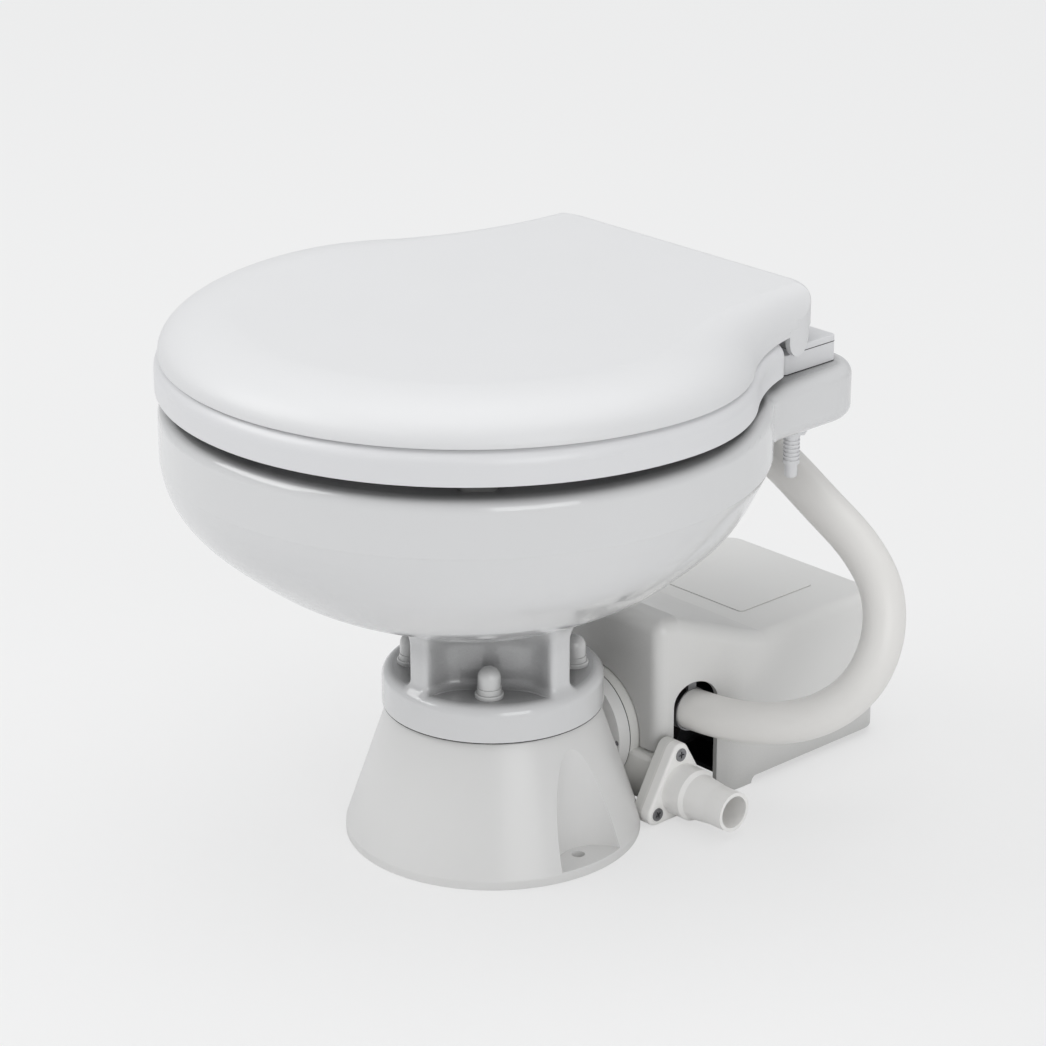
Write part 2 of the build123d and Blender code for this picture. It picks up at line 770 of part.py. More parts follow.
with BuildPart() as lid:
    for angle in lid_edge_angles:
        turn = math.radians(angle)
        edge_in = lid_edge_w * (1 - math.cos(turn))
        with BuildSketch(Plane.XY.offset(lid_bottom_z + lid_edge_h * math.sin(turn))):
            plan_outline(edge_in, edge_in * lid_rear_edge_share, deck_rear_y)
    loft()
    add(outer_mask, mode=Mode.INTERSECT)
    add(lid_ears.part)
    add(lid_hollow.part, mode=Mode.SUBTRACT)
    with BuildSketch(Plane.XY.offset(lid_bottom_z)):
        with Locations((0, ear_y + ear_r)):
            Rectangle(lid_rear_gap_half_w * 2, lid_rear_y, align=(Align.CENTER, Align.MIN))
    extrude(amount=lip_z - lid_bottom_z, mode=Mode.SUBTRACT)
    for lug_x in (lid_lug_in_x, -lid_lug_out_x):
        with BuildSketch(at_x(lug_x)):
            with Locations((pin_y, pin_z)):
                Circle(knuckle_r)
                Rectangle(lug_half_y * 2, inner_top_z + lid_wall / 2 - pin_z, align=(Align.CENTER, Align.MIN))
                Circle(pin_r + running_gap, mode=Mode.SUBTRACT)
        extrude(amount=lid_lug_out_x - lid_lug_in_x)
finish(lid, "lid")
print("lid volume", round(lid.part.volume), "solids", len(lid.part.solids()))

with BuildPart() as lid_bumpers:
    with BuildSketch(Plane.XY.offset(seat_top_z + seam_gap)):
        with Locations((lid_bumper_x, lid_bumper_y), (-lid_bumper_x, lid_bumper_y)):
            Circle(lid_bumper_r)
    extrude(amount=inner_top_z - seat_top_z)
    add(lid_hollow.part, mode=Mode.INTERSECT)
finish(lid_bumpers, "lid_bumpers")

# Hinge blocks, caps, pins, studs and nuts, one set on each side.
block_l = block_rear_y - block_front_y
block_y = (block_rear_y + block_front_y) / 2
block_top_z = rim_z + block_h
for side, side_name in ((1, "right"), (-1, "left")):
    with BuildPart() as hinge_block:
        with BuildSketch(Plane.XY.offset(rim_z)):
            with Locations((side * block_x, block_y)):
                RectangleRounded(block_half_w * 2, block_l, block_round)
        extrude(amount=block_h)
        near_x = neck_in_x if side > 0 else -neck_out_x
        with BuildSketch(at_x(near_x)):
            with BuildLine():
                Polyline(
                    (block_front_y + block_round, rim_z + block_h / 2),
                    (block_front_y + block_round, pin_z),
                    (block_front_y + block_round * 2, pin_z + knuckle_r),
                    (pin_y, pin_z + knuckle_r),
                    (pin_y, pin_z - neck_link_drop),
                    (neck_rear_y, pin_z - neck_link_drop),
                    (neck_rear_y, rim_z + block_h / 2),
                    close=True,
                )
            make_face()
            with Locations((pin_y, pin_z)):
                Circle(knuckle_r)
                Circle(pin_r, mode=Mode.SUBTRACT)
        extrude(amount=neck_out_x - neck_in_x)
        with BuildSketch(Plane.XY.offset(rim_z)):
            with Locations((side * block_x, stud_y)):
                Circle(stud_r + slip_gap)
        extrude(amount=block_h, mode=Mode.SUBTRACT)
        with BuildSketch(Plane.XY.offset(block_top_z - stud_head_h - slip_gap)):
            with Locations((side * block_x, stud_y)):
                RegularPolygon(stud_head_r + slip_gap, 6)
        extrude(amount=stud_head_h + slip_gap, mode=Mode.SUBTRACT)
    finish(hinge_block, "hinge_block_" + side_name)

    with BuildPart() as hinge_cap:
        with BuildSketch(Plane.XY.offset(block_top_z)):
            with Locations((side * block_x, (block_rear_y + cap_front_y) / 2)):
                RectangleRounded(block_half_w * 2, block_rear_y - cap_front_y, block_round)
        extrude(amount=cap_t)
        fillet(faces().sort_by(Axis.Z)[-1].outer_wire().edges(), cap_t / 4)
    finish(hinge_cap, "hinge_cap_" + side_name)

    with BuildPart() as hinge_pin:
        pin_start = pin_inner_x if side > 0 else -neck_out_x
        with BuildSketch(at_x(pin_start, pin_y, pin_z)):
            Circle(pin_r)
        extrude(amount=neck_out_x - pin_inner_x)
    finish(hinge_pin, "hinge_pin_" + side_name)

    with BuildPart() as hinge_stud:
        with BuildSketch(Plane.XY.offset(block_top_z - stud_head_h)):
            with Locations((side * block_x, stud_y)):
                RegularPolygon(stud_head_r, 6)
        extrude(amount=stud_head_h)
        with BuildSketch(Plane.XY.offset(stud_end_z)):
            with Locations((side * block_x, stud_y)):
                Circle(stud_r)
        extrude(amount=block_top_z - stud_head_h - stud_end_z)
        with BuildSketch(Plane.XY.offset(stud_tip_z)):
            with Locations((side * block_x, stud_y)):
                Circle(stud_tip_r)
        extrude(amount=stud_end_z - stud_tip_z)
        chamfer(edges().group_by(Axis.Z)[0], stud_chamfer)
        groove_z = stud_end_z + thread_pitch
        while groove_z < band_bottom_z - nut_h - thread_pitch:
            with BuildSketch(Plane.XY.offset(groove_z)):
                with Locations((side * block_x, stud_y)):
                    Circle(stud_r)
                    Circle(stud_r - thread_depth, mode=Mode.SUBTRACT)
            extrude(amount=thread_pitch / 2, mode=Mode.SUBTRACT)
            groove_z += thread_pitch
    finish(hinge_stud, "hinge_stud_" + side_name)

    with BuildPart() as hinge_nut:
        with BuildSketch(Plane.XY.offset(band_bottom_z - nut_h)):
            with Locations((side * block_x, stud_y)):
                RegularPolygon(nut_r, 6)
        extrude(amount=nut_h)
        with BuildSketch(Plane.XY.offset(band_bottom_z - nut_h)):
            with Locations((side * block_x, stud_y)):
                Circle(stud_r)
        extrude(amount=nut_h, mode=Mode.SUBTRACT)
    finish(hinge_nut, "hinge_nut_" + side_name)

# Rinse hose route, from the pump's port out through the cover's slot, round
# and up to the elbow behind the bowl.
elbow_point = Vector(0, elbow_y, inlet_z)
elbow_out = Vector(*elbow_dir).normalized()
hose_points = [Vector(port_boss_x + seam_gap, port_y, port_z)]
hose_points.append(Vector(port_boss_x + seam_gap + hose_first_run, port_y, port_z))
for route_point in hose_route:
    hose_points.append(Vector(*route_point))
hose_points.append(elbow_point + elbow_out * (elbow_hose_gap + elbow_hose_run))
hose_points.append(elbow_point + elbow_out * elbow_hose_gap)
hose_radii = []
for before, point, after in zip(hose_points, hose_points[1:], hose_points[2:]):
    run_in = (point - before).length
    run_out = (after - point).length
    turn = math.radians((point - before).get_angle(after - point))
    hose_radii.append(hose_bend_share * min(run_in, run_out) / math.tan(turn / 2))
print("hose runs", [round((b - a).length, 1) for a, b in zip(hose_points, hose_points[1:])])
print("hose radii", [round(r) for r in hose_radii])
with BuildPart() as rinse_hose:
    with BuildLine() as hose_line:
        FilletPolyline(*hose_points, radius=hose_radii)
    with BuildSketch(Plane(origin=hose_line.line @ 0, z_dir=hose_line.line % 0)):
        Circle(hose_r)
        Circle(hose_bore_r, mode=Mode.SUBTRACT)
    sweep()
finish(rinse_hose, "rinse_hose")
hose_length = sum(e.length for e in hose_line.line.edges())
hose_section = math.pi * (hose_r**2 - hose_bore_r**2)
print("hose length", round(hose_length), "volume", round(rinse_hose.part.volume))
print("expected hose volume", round(hose_section * hose_length))

# Elbow behind the bowl, with its seal.
hose_end = hose_points[-1]
end_dir = (hose_points[-1] - hose_points[-2]).normalized()
with BuildPart() as inlet_seal:
    with BuildSketch(Plane.XZ.offset(-inlet_boss_y - seal_t)):
        with Locations((0, inlet_z)):
            Circle(elbow_flange_r)
            Circle(inlet_bore_r, mode=Mode.SUBTRACT)
    extrude(amount=seal_t)
finish(inlet_seal, "inlet_seal")

elbow_flange_y = inlet_boss_y + seal_t
with BuildPart() as inlet_elbow:
    with BuildSketch(Plane.XY.offset(inlet_z - elbow_ball_r)):
        with Locations((0, elbow_y)):
            Circle(elbow_ball_r)
    extrude(amount=elbow_ball_r * 2)
    fillet(edges().filter_by(GeomType.CIRCLE), elbow_round)
    with BuildSketch(Plane.XZ.offset(-elbow_y)):
        with Locations((0, inlet_z)):
            Circle(inlet_bore_r - slip_gap)
    extrude(amount=elbow_y - inlet_boss_y + inlet_bore_r)
    with BuildSketch(Plane.XZ.offset(-elbow_flange_y - elbow_flange_t)):
        with Locations((0, inlet_z)):
            Circle(elbow_flange_r)
    extrude(amount=elbow_flange_t)
    with BuildSketch(Plane(origin=elbow_point, z_dir=elbow_out)):
        Circle(barb_r)
    extrude(amount=elbow_hose_gap + barb_length)
    with BuildSketch(Plane.XZ.offset(-elbow_y - elbow_bore_r)):
        with Locations((0, inlet_z)):
            Circle(elbow_bore_r)
    extrude(amount=elbow_y + elbow_bore_r - inlet_boss_y + inlet_bore_r, mode=Mode.SUBTRACT)
    with BuildSketch(Plane(origin=elbow_point, z_dir=elbow_out)):
        Circle(elbow_bore_r)
    extrude(amount=elbow_hose_gap + barb_length, mode=Mode.SUBTRACT)
finish(inlet_elbow, "inlet_elbow")
print("elbow volume", round(inlet_elbow.part.volume))

with BuildPart() as hose_clamps:
    for origin, direction in (
        (hose_points[0], (hose_points[1] - hose_points[0]).normalized()),
        (hose_end, -end_dir),
    ):
        clamp_plane = Plane(origin=origin + direction * clamp_setback, z_dir=direction)
        with BuildSketch(clamp_plane):
            Circle(hose_r + slip_gap + clamp_t)
            with Locations((hose_r + clamp_t, 0)):
                Rectangle(clamp_block, clamp_block)
            Circle(hose_r + slip_gap, mode=Mode.SUBTRACT)
        extrude(amount=clamp_width)
finish(hose_clamps, "hose_clamps")

# Pump housing behind the base.
volute_end_y = volute_front_y + volute_depth
with BuildPart() as volute_gasket:
    with BuildSketch(at_axis(volute_front_y)):
        Circle(volute_r - seam_gap)
        Circle(duct_r, mode=Mode.SUBTRACT)
        with PolarLocations(housing_screw_circle_r, housing_screw_count, start_angle=housing_screw_start):
            Circle(housing_screw_r + slip_gap, mode=Mode.SUBTRACT)
    extrude(amount=volute_gasket_t)
finish(volute_gasket, "volute_gasket")


def triangle_face():
    """Rounded triangle round the three screws, one corner up."""
    with PolarLocations(triangle_circle_r, triangle_count, start_angle=quarter):
        Circle(triangle_corner_r)
    make_hull()


outlet_h = outlet_top_z - outlet_bottom_z
outlet_mid_z = (outlet_top_z + outlet_bottom_z) / 2
with BuildPart() as volute_housing:
    with BuildSketch(at_axis(volute_end_y)):
        Circle(volute_r)
    extrude(amount=volute_depth)
    with BuildSketch(at_x(0, discharge_y, outlet_mid_z)):
        RectangleRounded(outlet_half_w * 2, outlet_h, outlet_round)
    extrude(amount=outlet_face_x)
    with BuildSketch(at_x(outlet_face_x - outlet_lip_t, discharge_y, discharge_z)):
        triangle_face()
    extrude(amount=outlet_lip_t)
    with BuildSketch(at_axis(volute_end_y)):
        Circle(volute_r - volute_wall)
    extrude(amount=volute_depth - volute_front_t, mode=Mode.SUBTRACT)
    with BuildSketch(at_axis(volute_end_y)):
        Circle(duct_r)
    extrude(amount=volute_depth, mode=Mode.SUBTRACT)
    with BuildSketch(at_x(0, discharge_y, discharge_z)):
        Circle(outlet_bore_r)
    extrude(amount=outlet_face_x, mode=Mode.SUBTRACT)
    with BuildSketch(at_x(outlet_face_x - outlet_lip_t, discharge_y, discharge_z)):
        with PolarLocations(triangle_circle_r, triangle_count, start_angle=quarter):
            Circle(flange_screw_r + slip_gap)
    extrude(amount=outlet_lip_t, mode=Mode.SUBTRACT)
    with BuildSketch(at_axis(volute_end_y)):
        with PolarLocations(housing_screw_circle_r, housing_screw_count, start_angle=housing_screw_start):
            Circle(housing_screw_r + slip_gap)
    extrude(amount=volute_depth, mode=Mode.SUBTRACT)
finish(volute_housing, "volute_housing")

with BuildPart() as seal_plate:
    with BuildSketch(at_axis(plate_end_y)):
        Circle(volute_r)
        Circle(shaft_r + seam_gap, mode=Mode.SUBTRACT)
        with PolarLocations(housing_screw_circle_r, housing_screw_count, start_angle=housing_screw_start):
            Circle(housing_screw_r + slip_gap, mode=Mode.SUBTRACT)
    extrude(amount=seal_plate_t)
finish(seal_plate, "seal_plate")

with BuildPart() as housing_screws:
    with BuildSketch(at_axis(plate_end_y)):
        with PolarLocations(housing_screw_circle_r, housing_screw_count, start_angle=housing_screw_start):
            Circle(housing_screw_r)
    extrude(amount=plate_end_y - base_rear_y + rear_flange_t - seam_gap)
    with BuildSketch(at_axis(plate_end_y + housing_screw_head_h)):
        with PolarLocations(housing_screw_circle_r, housing_screw_count, start_angle=housing_screw_start):
            Circle(housing_screw_head_r)
    extrude(amount=housing_screw_head_h)
finish(housing_screws, "housing_screws")

# Raw-water pump: body with two ports, shaft seal, cam and end plate.
with BuildPart() as pump_body:
    with BuildSketch(at_axis(pump_end_y)):
        Circle(pump_r)
    extrude(amount=pump_length)
    with BuildSketch(at_x(0, port_y, port_z)):
        Circle(port_boss_r)
    extrude(amount=port_boss_x, both=True)
    with BuildSketch(at_x(0, port_y, port_z)):
        Circle(barb_r)
    extrude(amount=port_boss_x + barb_length)
    with BuildSketch(at_x(0, port_y, port_z)):
        Circle(barb_r)
    extrude(amount=-port_boss_x - intake_length)
    with BuildSketch(at_axis(pump_end_y)):
        Circle(pump_cavity_r)
    extrude(amount=pump_length - pump_wall_t, mode=Mode.SUBTRACT)
    with BuildSketch(at_axis(pump_end_y)):
        Circle(bearing_r)
    extrude(amount=pump_length, mode=Mode.SUBTRACT)
    with BuildSketch(at_x(port_boss_x + barb_length, port_y, port_z)):
        Circle(port_bore_r)
    extrude(amount=-port_boss_x - barb_length + pump_cavity_r / 2, mode=Mode.SUBTRACT)
    with BuildSketch(at_x(-port_boss_x - intake_length, port_y, port_z)):
        Circle(port_bore_r)
    extrude(amount=port_boss_x + intake_length - pump_cavity_r / 2, mode=Mode.SUBTRACT)
finish(pump_body, "pump_body")

with BuildPart() as shaft_seal:
    with BuildSketch(at_axis(plate_end_y + pump_wall_t)):
        Circle(bearing_r)
        Circle(shaft_r + running_gap, mode=Mode.SUBTRACT)
    extrude(amount=pump_wall_t)
finish(shaft_seal, "shaft_seal")

with BuildPart() as pump_cam:
    with BuildSketch(at_axis(pump_end_y)):
        with BuildLine():
            outer = CenterArc((0, 0), pump_cavity_r, quarter - cam_arc / 2, cam_arc)
            inner = CenterArc((0, 0), pump_cavity_r - cam_t, quarter - cam_arc / 2, cam_arc)
            Line(outer @ 0, inner @ 0)
            Line(outer @ 1, inner @ 1)
        make_face()
    extrude(amount=pump_length - pump_wall_t)
    with BuildSketch(at_x(0, port_y, port_z)):
        Circle(port_bore_r)
    extrude(amount=port_boss_x, both=True, mode=Mode.SUBTRACT)
finish(pump_cam, "pump_cam")

with BuildPart() as pump_end_plate:
    with BuildSketch(at_axis(pump_end_y + end_plate_t)):
        Circle(pump_r)
        Circle(shaft_r + seam_gap, mode=Mode.SUBTRACT)
    extrude(amount=end_plate_t)
finish(pump_end_plate, "pump_end_plate")

# Joker valve and discharge flange.
valve_x = outlet_face_x
flange_x = valve_x + valve_t
face_x = flange_x + flange_t
with BuildPart() as joker_valve:
    with BuildSketch(at_x(valve_x, discharge_y, discharge_z)):
        triangle_face()
        with PolarLocations(triangle_circle_r, triangle_count, start_angle=quarter):
            Circle(flange_screw_r + slip_gap, mode=Mode.SUBTRACT)
    extrude(amount=valve_t)
    with BuildSketch(at_x(flange_x, discharge_y, discharge_z)):
        Circle(valve_room_r - valve_t)
    with BuildSketch(at_x(flange_x + bill_length, discharge_y, discharge_z)):
        SlotOverall((valve_room_r - valve_t) * 2, bill_tip_t)
    loft()
    with BuildSketch(at_x(valve_x, discharge_y, discharge_z)):
        Circle(outlet_bore_r)
    with BuildSketch(at_x(flange_x + bill_length, discharge_y, discharge_z)):
        SlotOverall((outlet_bore_r + valve_t / 2) * 2, bill_slit)
    loft(mode=Mode.SUBTRACT)
finish(joker_valve, "joker_valve")

with BuildPart() as discharge_flange:
    with BuildSketch(at_x(flange_x, discharge_y, discharge_z)):
        triangle_face()
    extrude(amount=flange_t)
    fillet(faces().sort_by(Axis.X)[-1].outer_wire().edges(), flange_round)
    with BuildSketch(Plane.XY.offset(discharge_z)):
        with BuildLine():
            Polyline(
                (flange_x + flange_round, discharge_y),
                (flange_x + flange_round, discharge_y + spigot_root_r),
                (face_x, discharge_y + spigot_root_r),
                (face_x + spigot_root_length, discharge_y + spigot_root_r),
                (face_x + spigot_root_length + spigot_step_length, discharge_y + spigot_step_r),
                (spigot_end_x - spigot_straight, discharge_y + spigot_r),
                (spigot_end_x, discharge_y + spigot_r),
                (spigot_end_x, discharge_y),
                close=True,
            )
        make_face()
    revolve(axis=Axis((0, discharge_y, discharge_z), (1, 0, 0)))
    with BuildSketch(at_x(flange_x, discharge_y, discharge_z)):
        Circle(valve_room_r)
    extrude(amount=valve_room_length, mode=Mode.SUBTRACT)
    with BuildSketch(at_x(flange_x, discharge_y, discharge_z)):
        Circle(spigot_bore_r)
    extrude(amount=spigot_end_x - flange_x, mode=Mode.SUBTRACT)
    with BuildSketch(at_x(flange_x, discharge_y, discharge_z)):
        with PolarLocations(triangle_circle_r, triangle_count, start_angle=quarter):
            Circle(flange_screw_r + slip_gap)
    extrude(amount=flange_t, mode=Mode.SUBTRACT)
    with BuildSketch(at_x(face_x - flange_screw_depth, discharge_y, discharge_z)):
        with PolarLocations(triangle_circle_r, triangle_count, start_angle=quarter):
            Circle(flange_screw_head_r + slip_gap)
    extrude(amount=flange_screw_depth + flange_screw_head_h, mode=Mode.SUBTRACT)
finish(discharge_flange, "discharge_flange")

screw_seat_x = face_x - flange_screw_depth
with BuildPart() as flange_screws:
    with BuildSketch(at_x(screw_seat_x, discharge_y, discharge_z)):
        with PolarLocations(triangle_circle_r, triangle_count, start_angle=quarter):
            Circle(flange_screw_head_r)
    extrude(amount=flange_screw_head_h)
    with BuildSketch(at_x(screw_seat_x, discharge_y, discharge_z)):
        with PolarLocations(triangle_circle_r, triangle_count, start_angle=quarter):
            Circle(flange_screw_r)
    extrude(amount=-flange_screw_length)
    with BuildSketch(at_x(screw_seat_x + flange_screw_head_h, discharge_y, discharge_z)):
        with PolarLocations(triangle_circle_r, triangle_count, start_angle=quarter):
            Rectangle(cross_l, cross_w)
            Rectangle(cross_w, cross_l)
    extrude(amount=-cross_d, mode=Mode.SUBTRACT)
finish(flange_screws, "flange_screws")

# Rotor: shaft, chopper plate, impeller, flexible impeller, armature, commutator.
bearing_rear_y = can_end_y + rotor_side_gap
with BuildPart() as shaft:
    with BuildSketch(at_axis(bearing_rear_y + bearing_w)):
        Circle(shaft_r)
    extrude(amount=bearing_rear_y + bearing_w - shaft_front_y)
finish(shaft, "shaft")

chopper_end_y = shaft_front_y + rotor_side_gap + chopper_t
with BuildPart() as chopper_plate:
    with BuildSketch(at_axis(chopper_end_y)):
        Circle(chopper_hub_r)
        RectangleRounded(chopper_r * 2, chopper_hub_r, chopper_t)
        Circle(shaft_r, mode=Mode.SUBTRACT)
    extrude(amount=chopper_t)
finish(chopper_plate, "chopper_plate")

impeller_end_y = chopper_end_y + rotor_side_gap + impeller_blade_h + impeller_back_t
with BuildPart() as impeller:
    with BuildSketch(at_axis(impeller_end_y)):
        Circle(impeller_r)
    extrude(amount=impeller_back_t)
    with BuildSketch(at_axis(impeller_end_y - impeller_back_t)):
        Circle(chopper_hub_r)
        with PolarLocations(impeller_r / 2, impeller_blades):
            Rectangle(impeller_r, impeller_blade_t)
        Circle(impeller_r * 2, mode=Mode.INTERSECT)
    extrude(amount=impeller_blade_h)
    with BuildSketch(at_axis(impeller_end_y)):
        Circle(shaft_r)
    extrude(amount=impeller_back_t + impeller_blade_h, mode=Mode.SUBTRACT)
finish(impeller, "impeller")

vane_end_y = pump_end_y - rotor_side_gap
with BuildPart() as flexible_impeller:
    with BuildSketch(at_axis(vane_end_y)):
        Circle(vane_hub_r)
        with PolarLocations((vane_r - vane_tip_r) / 2, vane_count):
            Rectangle(vane_r - vane_tip_r, vane_t)
        with PolarLocations(vane_r - vane_tip_r, vane_count):
            Circle(vane_tip_r)
        Circle(shaft_r, mode=Mode.SUBTRACT)
    extrude(amount=vane_length)
finish(flexible_impeller, "flexible_impeller")

armature_start_y = can_start_y + armature_start
with BuildPart() as armature:
    with BuildSketch(at_axis(armature_start_y + armature_length)):
        Circle(armature_r)
        with PolarLocations(armature_r - armature_slot_d / 2, armature_slots):
            Rectangle(armature_slot_d + overrun, armature_slot_w, mode=Mode.SUBTRACT)
        Circle(shaft_r, mode=Mode.SUBTRACT)
    extrude(amount=armature_length)
finish(armature, "armature")

commutator_end_y = armature_start_y + armature_length + rotor_side_gap + commutator_length
with BuildPart() as commutator:
    with BuildSketch(at_axis(commutator_end_y)):
        Circle(commutator_r)
        Circle(shaft_r, mode=Mode.SUBTRACT)
    extrude(amount=commutator_length)
finish(commutator, "commutator")

# Motor shell and fixed pieces.
with BuildPart() as front_bell:
    with BuildSketch(at_axis(can_start_y)):
        Circle(motor_r)
        Circle(shaft_r + seam_gap, mode=Mode.SUBTRACT)
        with Locations((motor_bolt_x, 0), (-motor_bolt_x, 0)):
            Circle(motor_bolt_r, mode=Mode.SUBTRACT)
    extrude(amount=bell_t)
    with BuildSketch(at_axis(can_start_y)):
        Circle(bearing_r)
    extrude(amount=bearing_w, mode=Mode.SUBTRACT)
finish(front_bell, "front_bell")

with BuildPart() as motor_can:
    with BuildSketch(at_axis(can_end_y)):
        Circle(motor_r)
        Circle(motor_r - can_wall, mode=Mode.SUBTRACT)
    extrude(amount=can_length)
finish(motor_can, "motor_can")

with BuildPart() as end_cap:
    with BuildSketch(at_axis(motor_end_y)):
        Circle(motor_r)
        with Locations((motor_bolt_x, 0), (-motor_bolt_x, 0)):
            Circle(motor_bolt_r + slip_gap, mode=Mode.SUBTRACT)
    extrude(amount=end_cap_t)
    with BuildSketch(at_axis(bearing_rear_y + bearing_w + rotor_side_gap)):
        Circle(bearing_r)
    extrude(amount=bearing_w + rotor_side_gap * 2, mode=Mode.SUBTRACT)
    fillet(faces().sort_by(Axis.Y)[-1].outer_wire().edges(), base_edge_round)
finish(end_cap, "end_cap")

with BuildPart() as bearings:
    with BuildSketch(at_axis(can_start_y)):
        Circle(bearing_r)
        Circle(shaft_r + running_gap, mode=Mode.SUBTRACT)
    extrude(amount=bearing_w)
    with BuildSketch(at_axis(bearing_rear_y + bearing_w)):
        Circle(bearing_r)
        Circle(shaft_r + running_gap, mode=Mode.SUBTRACT)
    extrude(amount=bearing_w)
finish(bearings, "bearings")

magnet_r = motor_r - can_wall
with BuildPart() as magnets:
    with BuildSketch(at_axis(armature_start_y + magnet_length)):
        for start in (quarter - magnet_arc / 2, -quarter - magnet_arc / 2):
            with BuildLine():
                outer = CenterArc((0, 0), magnet_r, start, magnet_arc)
                inner = CenterArc((0, 0), magnet_r - magnet_t, start, magnet_arc)
                Line(outer @ 0, inner @ 0)
                Line(outer @ 1, inner @ 1)
            make_face()
    extrude(amount=magnet_length)
finish(magnets, "magnets")

brush_mid_y = commutator_end_y - commutator_length / 2
with BuildPart() as brush_card:
    with BuildSketch(at_axis(brush_mid_y + brush_card_t / 2)):
        Circle(magnet_r)
        Circle(brush_card_bore_r, mode=Mode.SUBTRACT)
        with Locations((motor_bolt_x, 0), (-motor_bolt_x, 0)):
            Circle(motor_bolt_r + slip_gap, mode=Mode.SUBTRACT)
    extrude(amount=brush_card_t)
finish(brush_card, "brush_card")

brush_l = brush_card_bore_r - commutator_r
with BuildPart() as brushes:
    with BuildSketch(at_axis(brush_mid_y + brush_w / 2)):
        with PolarLocations(commutator_r + slip_gap + brush_l / 2, 2, start_angle=quarter):
            Rectangle(brush_l - seam_gap * 3, brush_w)
    extrude(amount=brush_w)
finish(brushes, "brushes")

with BuildPart() as motor_bolts:
    with BuildSketch(at_axis(motor_end_y)):
        with Locations((motor_bolt_x, 0), (-motor_bolt_x, 0)):
            Circle(motor_bolt_r)
    extrude(amount=motor_end_y - bell_start_y)
    with BuildSketch(at_axis(motor_end_y + motor_bolt_head_h)):
        with Locations((motor_bolt_x, 0), (-motor_bolt_x, 0)):
            Circle(motor_bolt_head_r)
    extrude(amount=motor_bolt_head_h)
finish(motor_bolts, "motor_bolts")

with BuildPart() as motor_bracket:
    bracket_l = bracket_rear_y - bracket_front_y
    with BuildSketch(Plane.XY):
        with Locations((0, (bracket_rear_y + bracket_front_y) / 2)):
            RectangleRounded(bracket_half_w * 2, bracket_l, bracket_corner_r)
        with Locations(
            (bracket_hole_x, bracket_hole_front_y),
            (-bracket_hole_x, bracket_hole_front_y),
            (bracket_hole_x, bracket_hole_rear_y),
            (-bracket_hole_x, bracket_hole_rear_y),
        ):
            Circle(bracket_hole_r, mode=Mode.SUBTRACT)
    extrude(amount=bracket_t)
    for plate_y in (saddle_y, saddle_y + saddle_gap):
        with BuildSketch(Plane.XZ.offset(-plate_y - saddle_t)):
            with Locations((0, 0)):
                Rectangle(saddle_half_w * 2, saddle_top_z, align=(Align.CENTER, Align.MIN))
        extrude(amount=saddle_t)
    with BuildSketch(Plane.XZ.offset(-bracket_rear_y)):
        Rectangle(tab_half_w * 2, tab_top_z, align=(Align.CENTER, Align.MIN))
        with Locations((cover_screw_x, cover_screw_z), (-cover_screw_x, cover_screw_z)):
            Circle(cover_screw_r, mode=Mode.SUBTRACT)
    extrude(amount=bracket_t)
    with BuildSketch(at_axis(can_end_y)):
        Circle(motor_r + slip_gap)
    extrude(amount=can_length, mode=Mode.SUBTRACT)
finish(motor_bracket, "motor_bracket")


def cover_plan(inset):
    """Plan outline of the cover, moved in by inset."""
    with BuildLine() as outline:
        Polyline(
            (-cover_front_half_w + inset, cover_front_y + inset),
            (cover_front_half_w - inset, cover_front_y + inset),
            (cover_half_w - inset, cover_widen_y),
            (cover_half_w - inset, cover_rear_y - inset),
            (-cover_half_w + inset, cover_rear_y - inset),
            (-cover_half_w + inset, cover_widen_y),
            close=True,
        )
    make_face(outline.edges())
    rows = vertices().group_by(Axis.Y)
    fillet(rows[0], cover_front_corner_r - inset)
    rows = vertices().filter_by(lambda v: abs(v.Y - cover_widen_y) < slip_gap)
    fillet(rows, cover_mid_corner_r)
    rows = vertices().group_by(Axis.Y)
    fillet(rows[-1], cover_rear_corner_r - inset)


def cover_top(inset):
    """Side outline of what lies above the cover's top, moved down by inset."""
    with BuildLine() as outline:
        Polyline(
            (cover_front_y - overrun, cover_front_top_z - inset),
            (cover_hump_y, cover_front_top_z - inset),
            (cover_flat_y, cover_rear_top_z - inset),
            (cover_rear_y + overrun, cover_rear_top_z - inset),
            (cover_rear_y + overrun, cover_front_top_z + overrun * 2),
            (cover_front_y - overrun, cover_front_top_z + overrun * 2),
            close=True,
        )
    make_face(outline.edges())


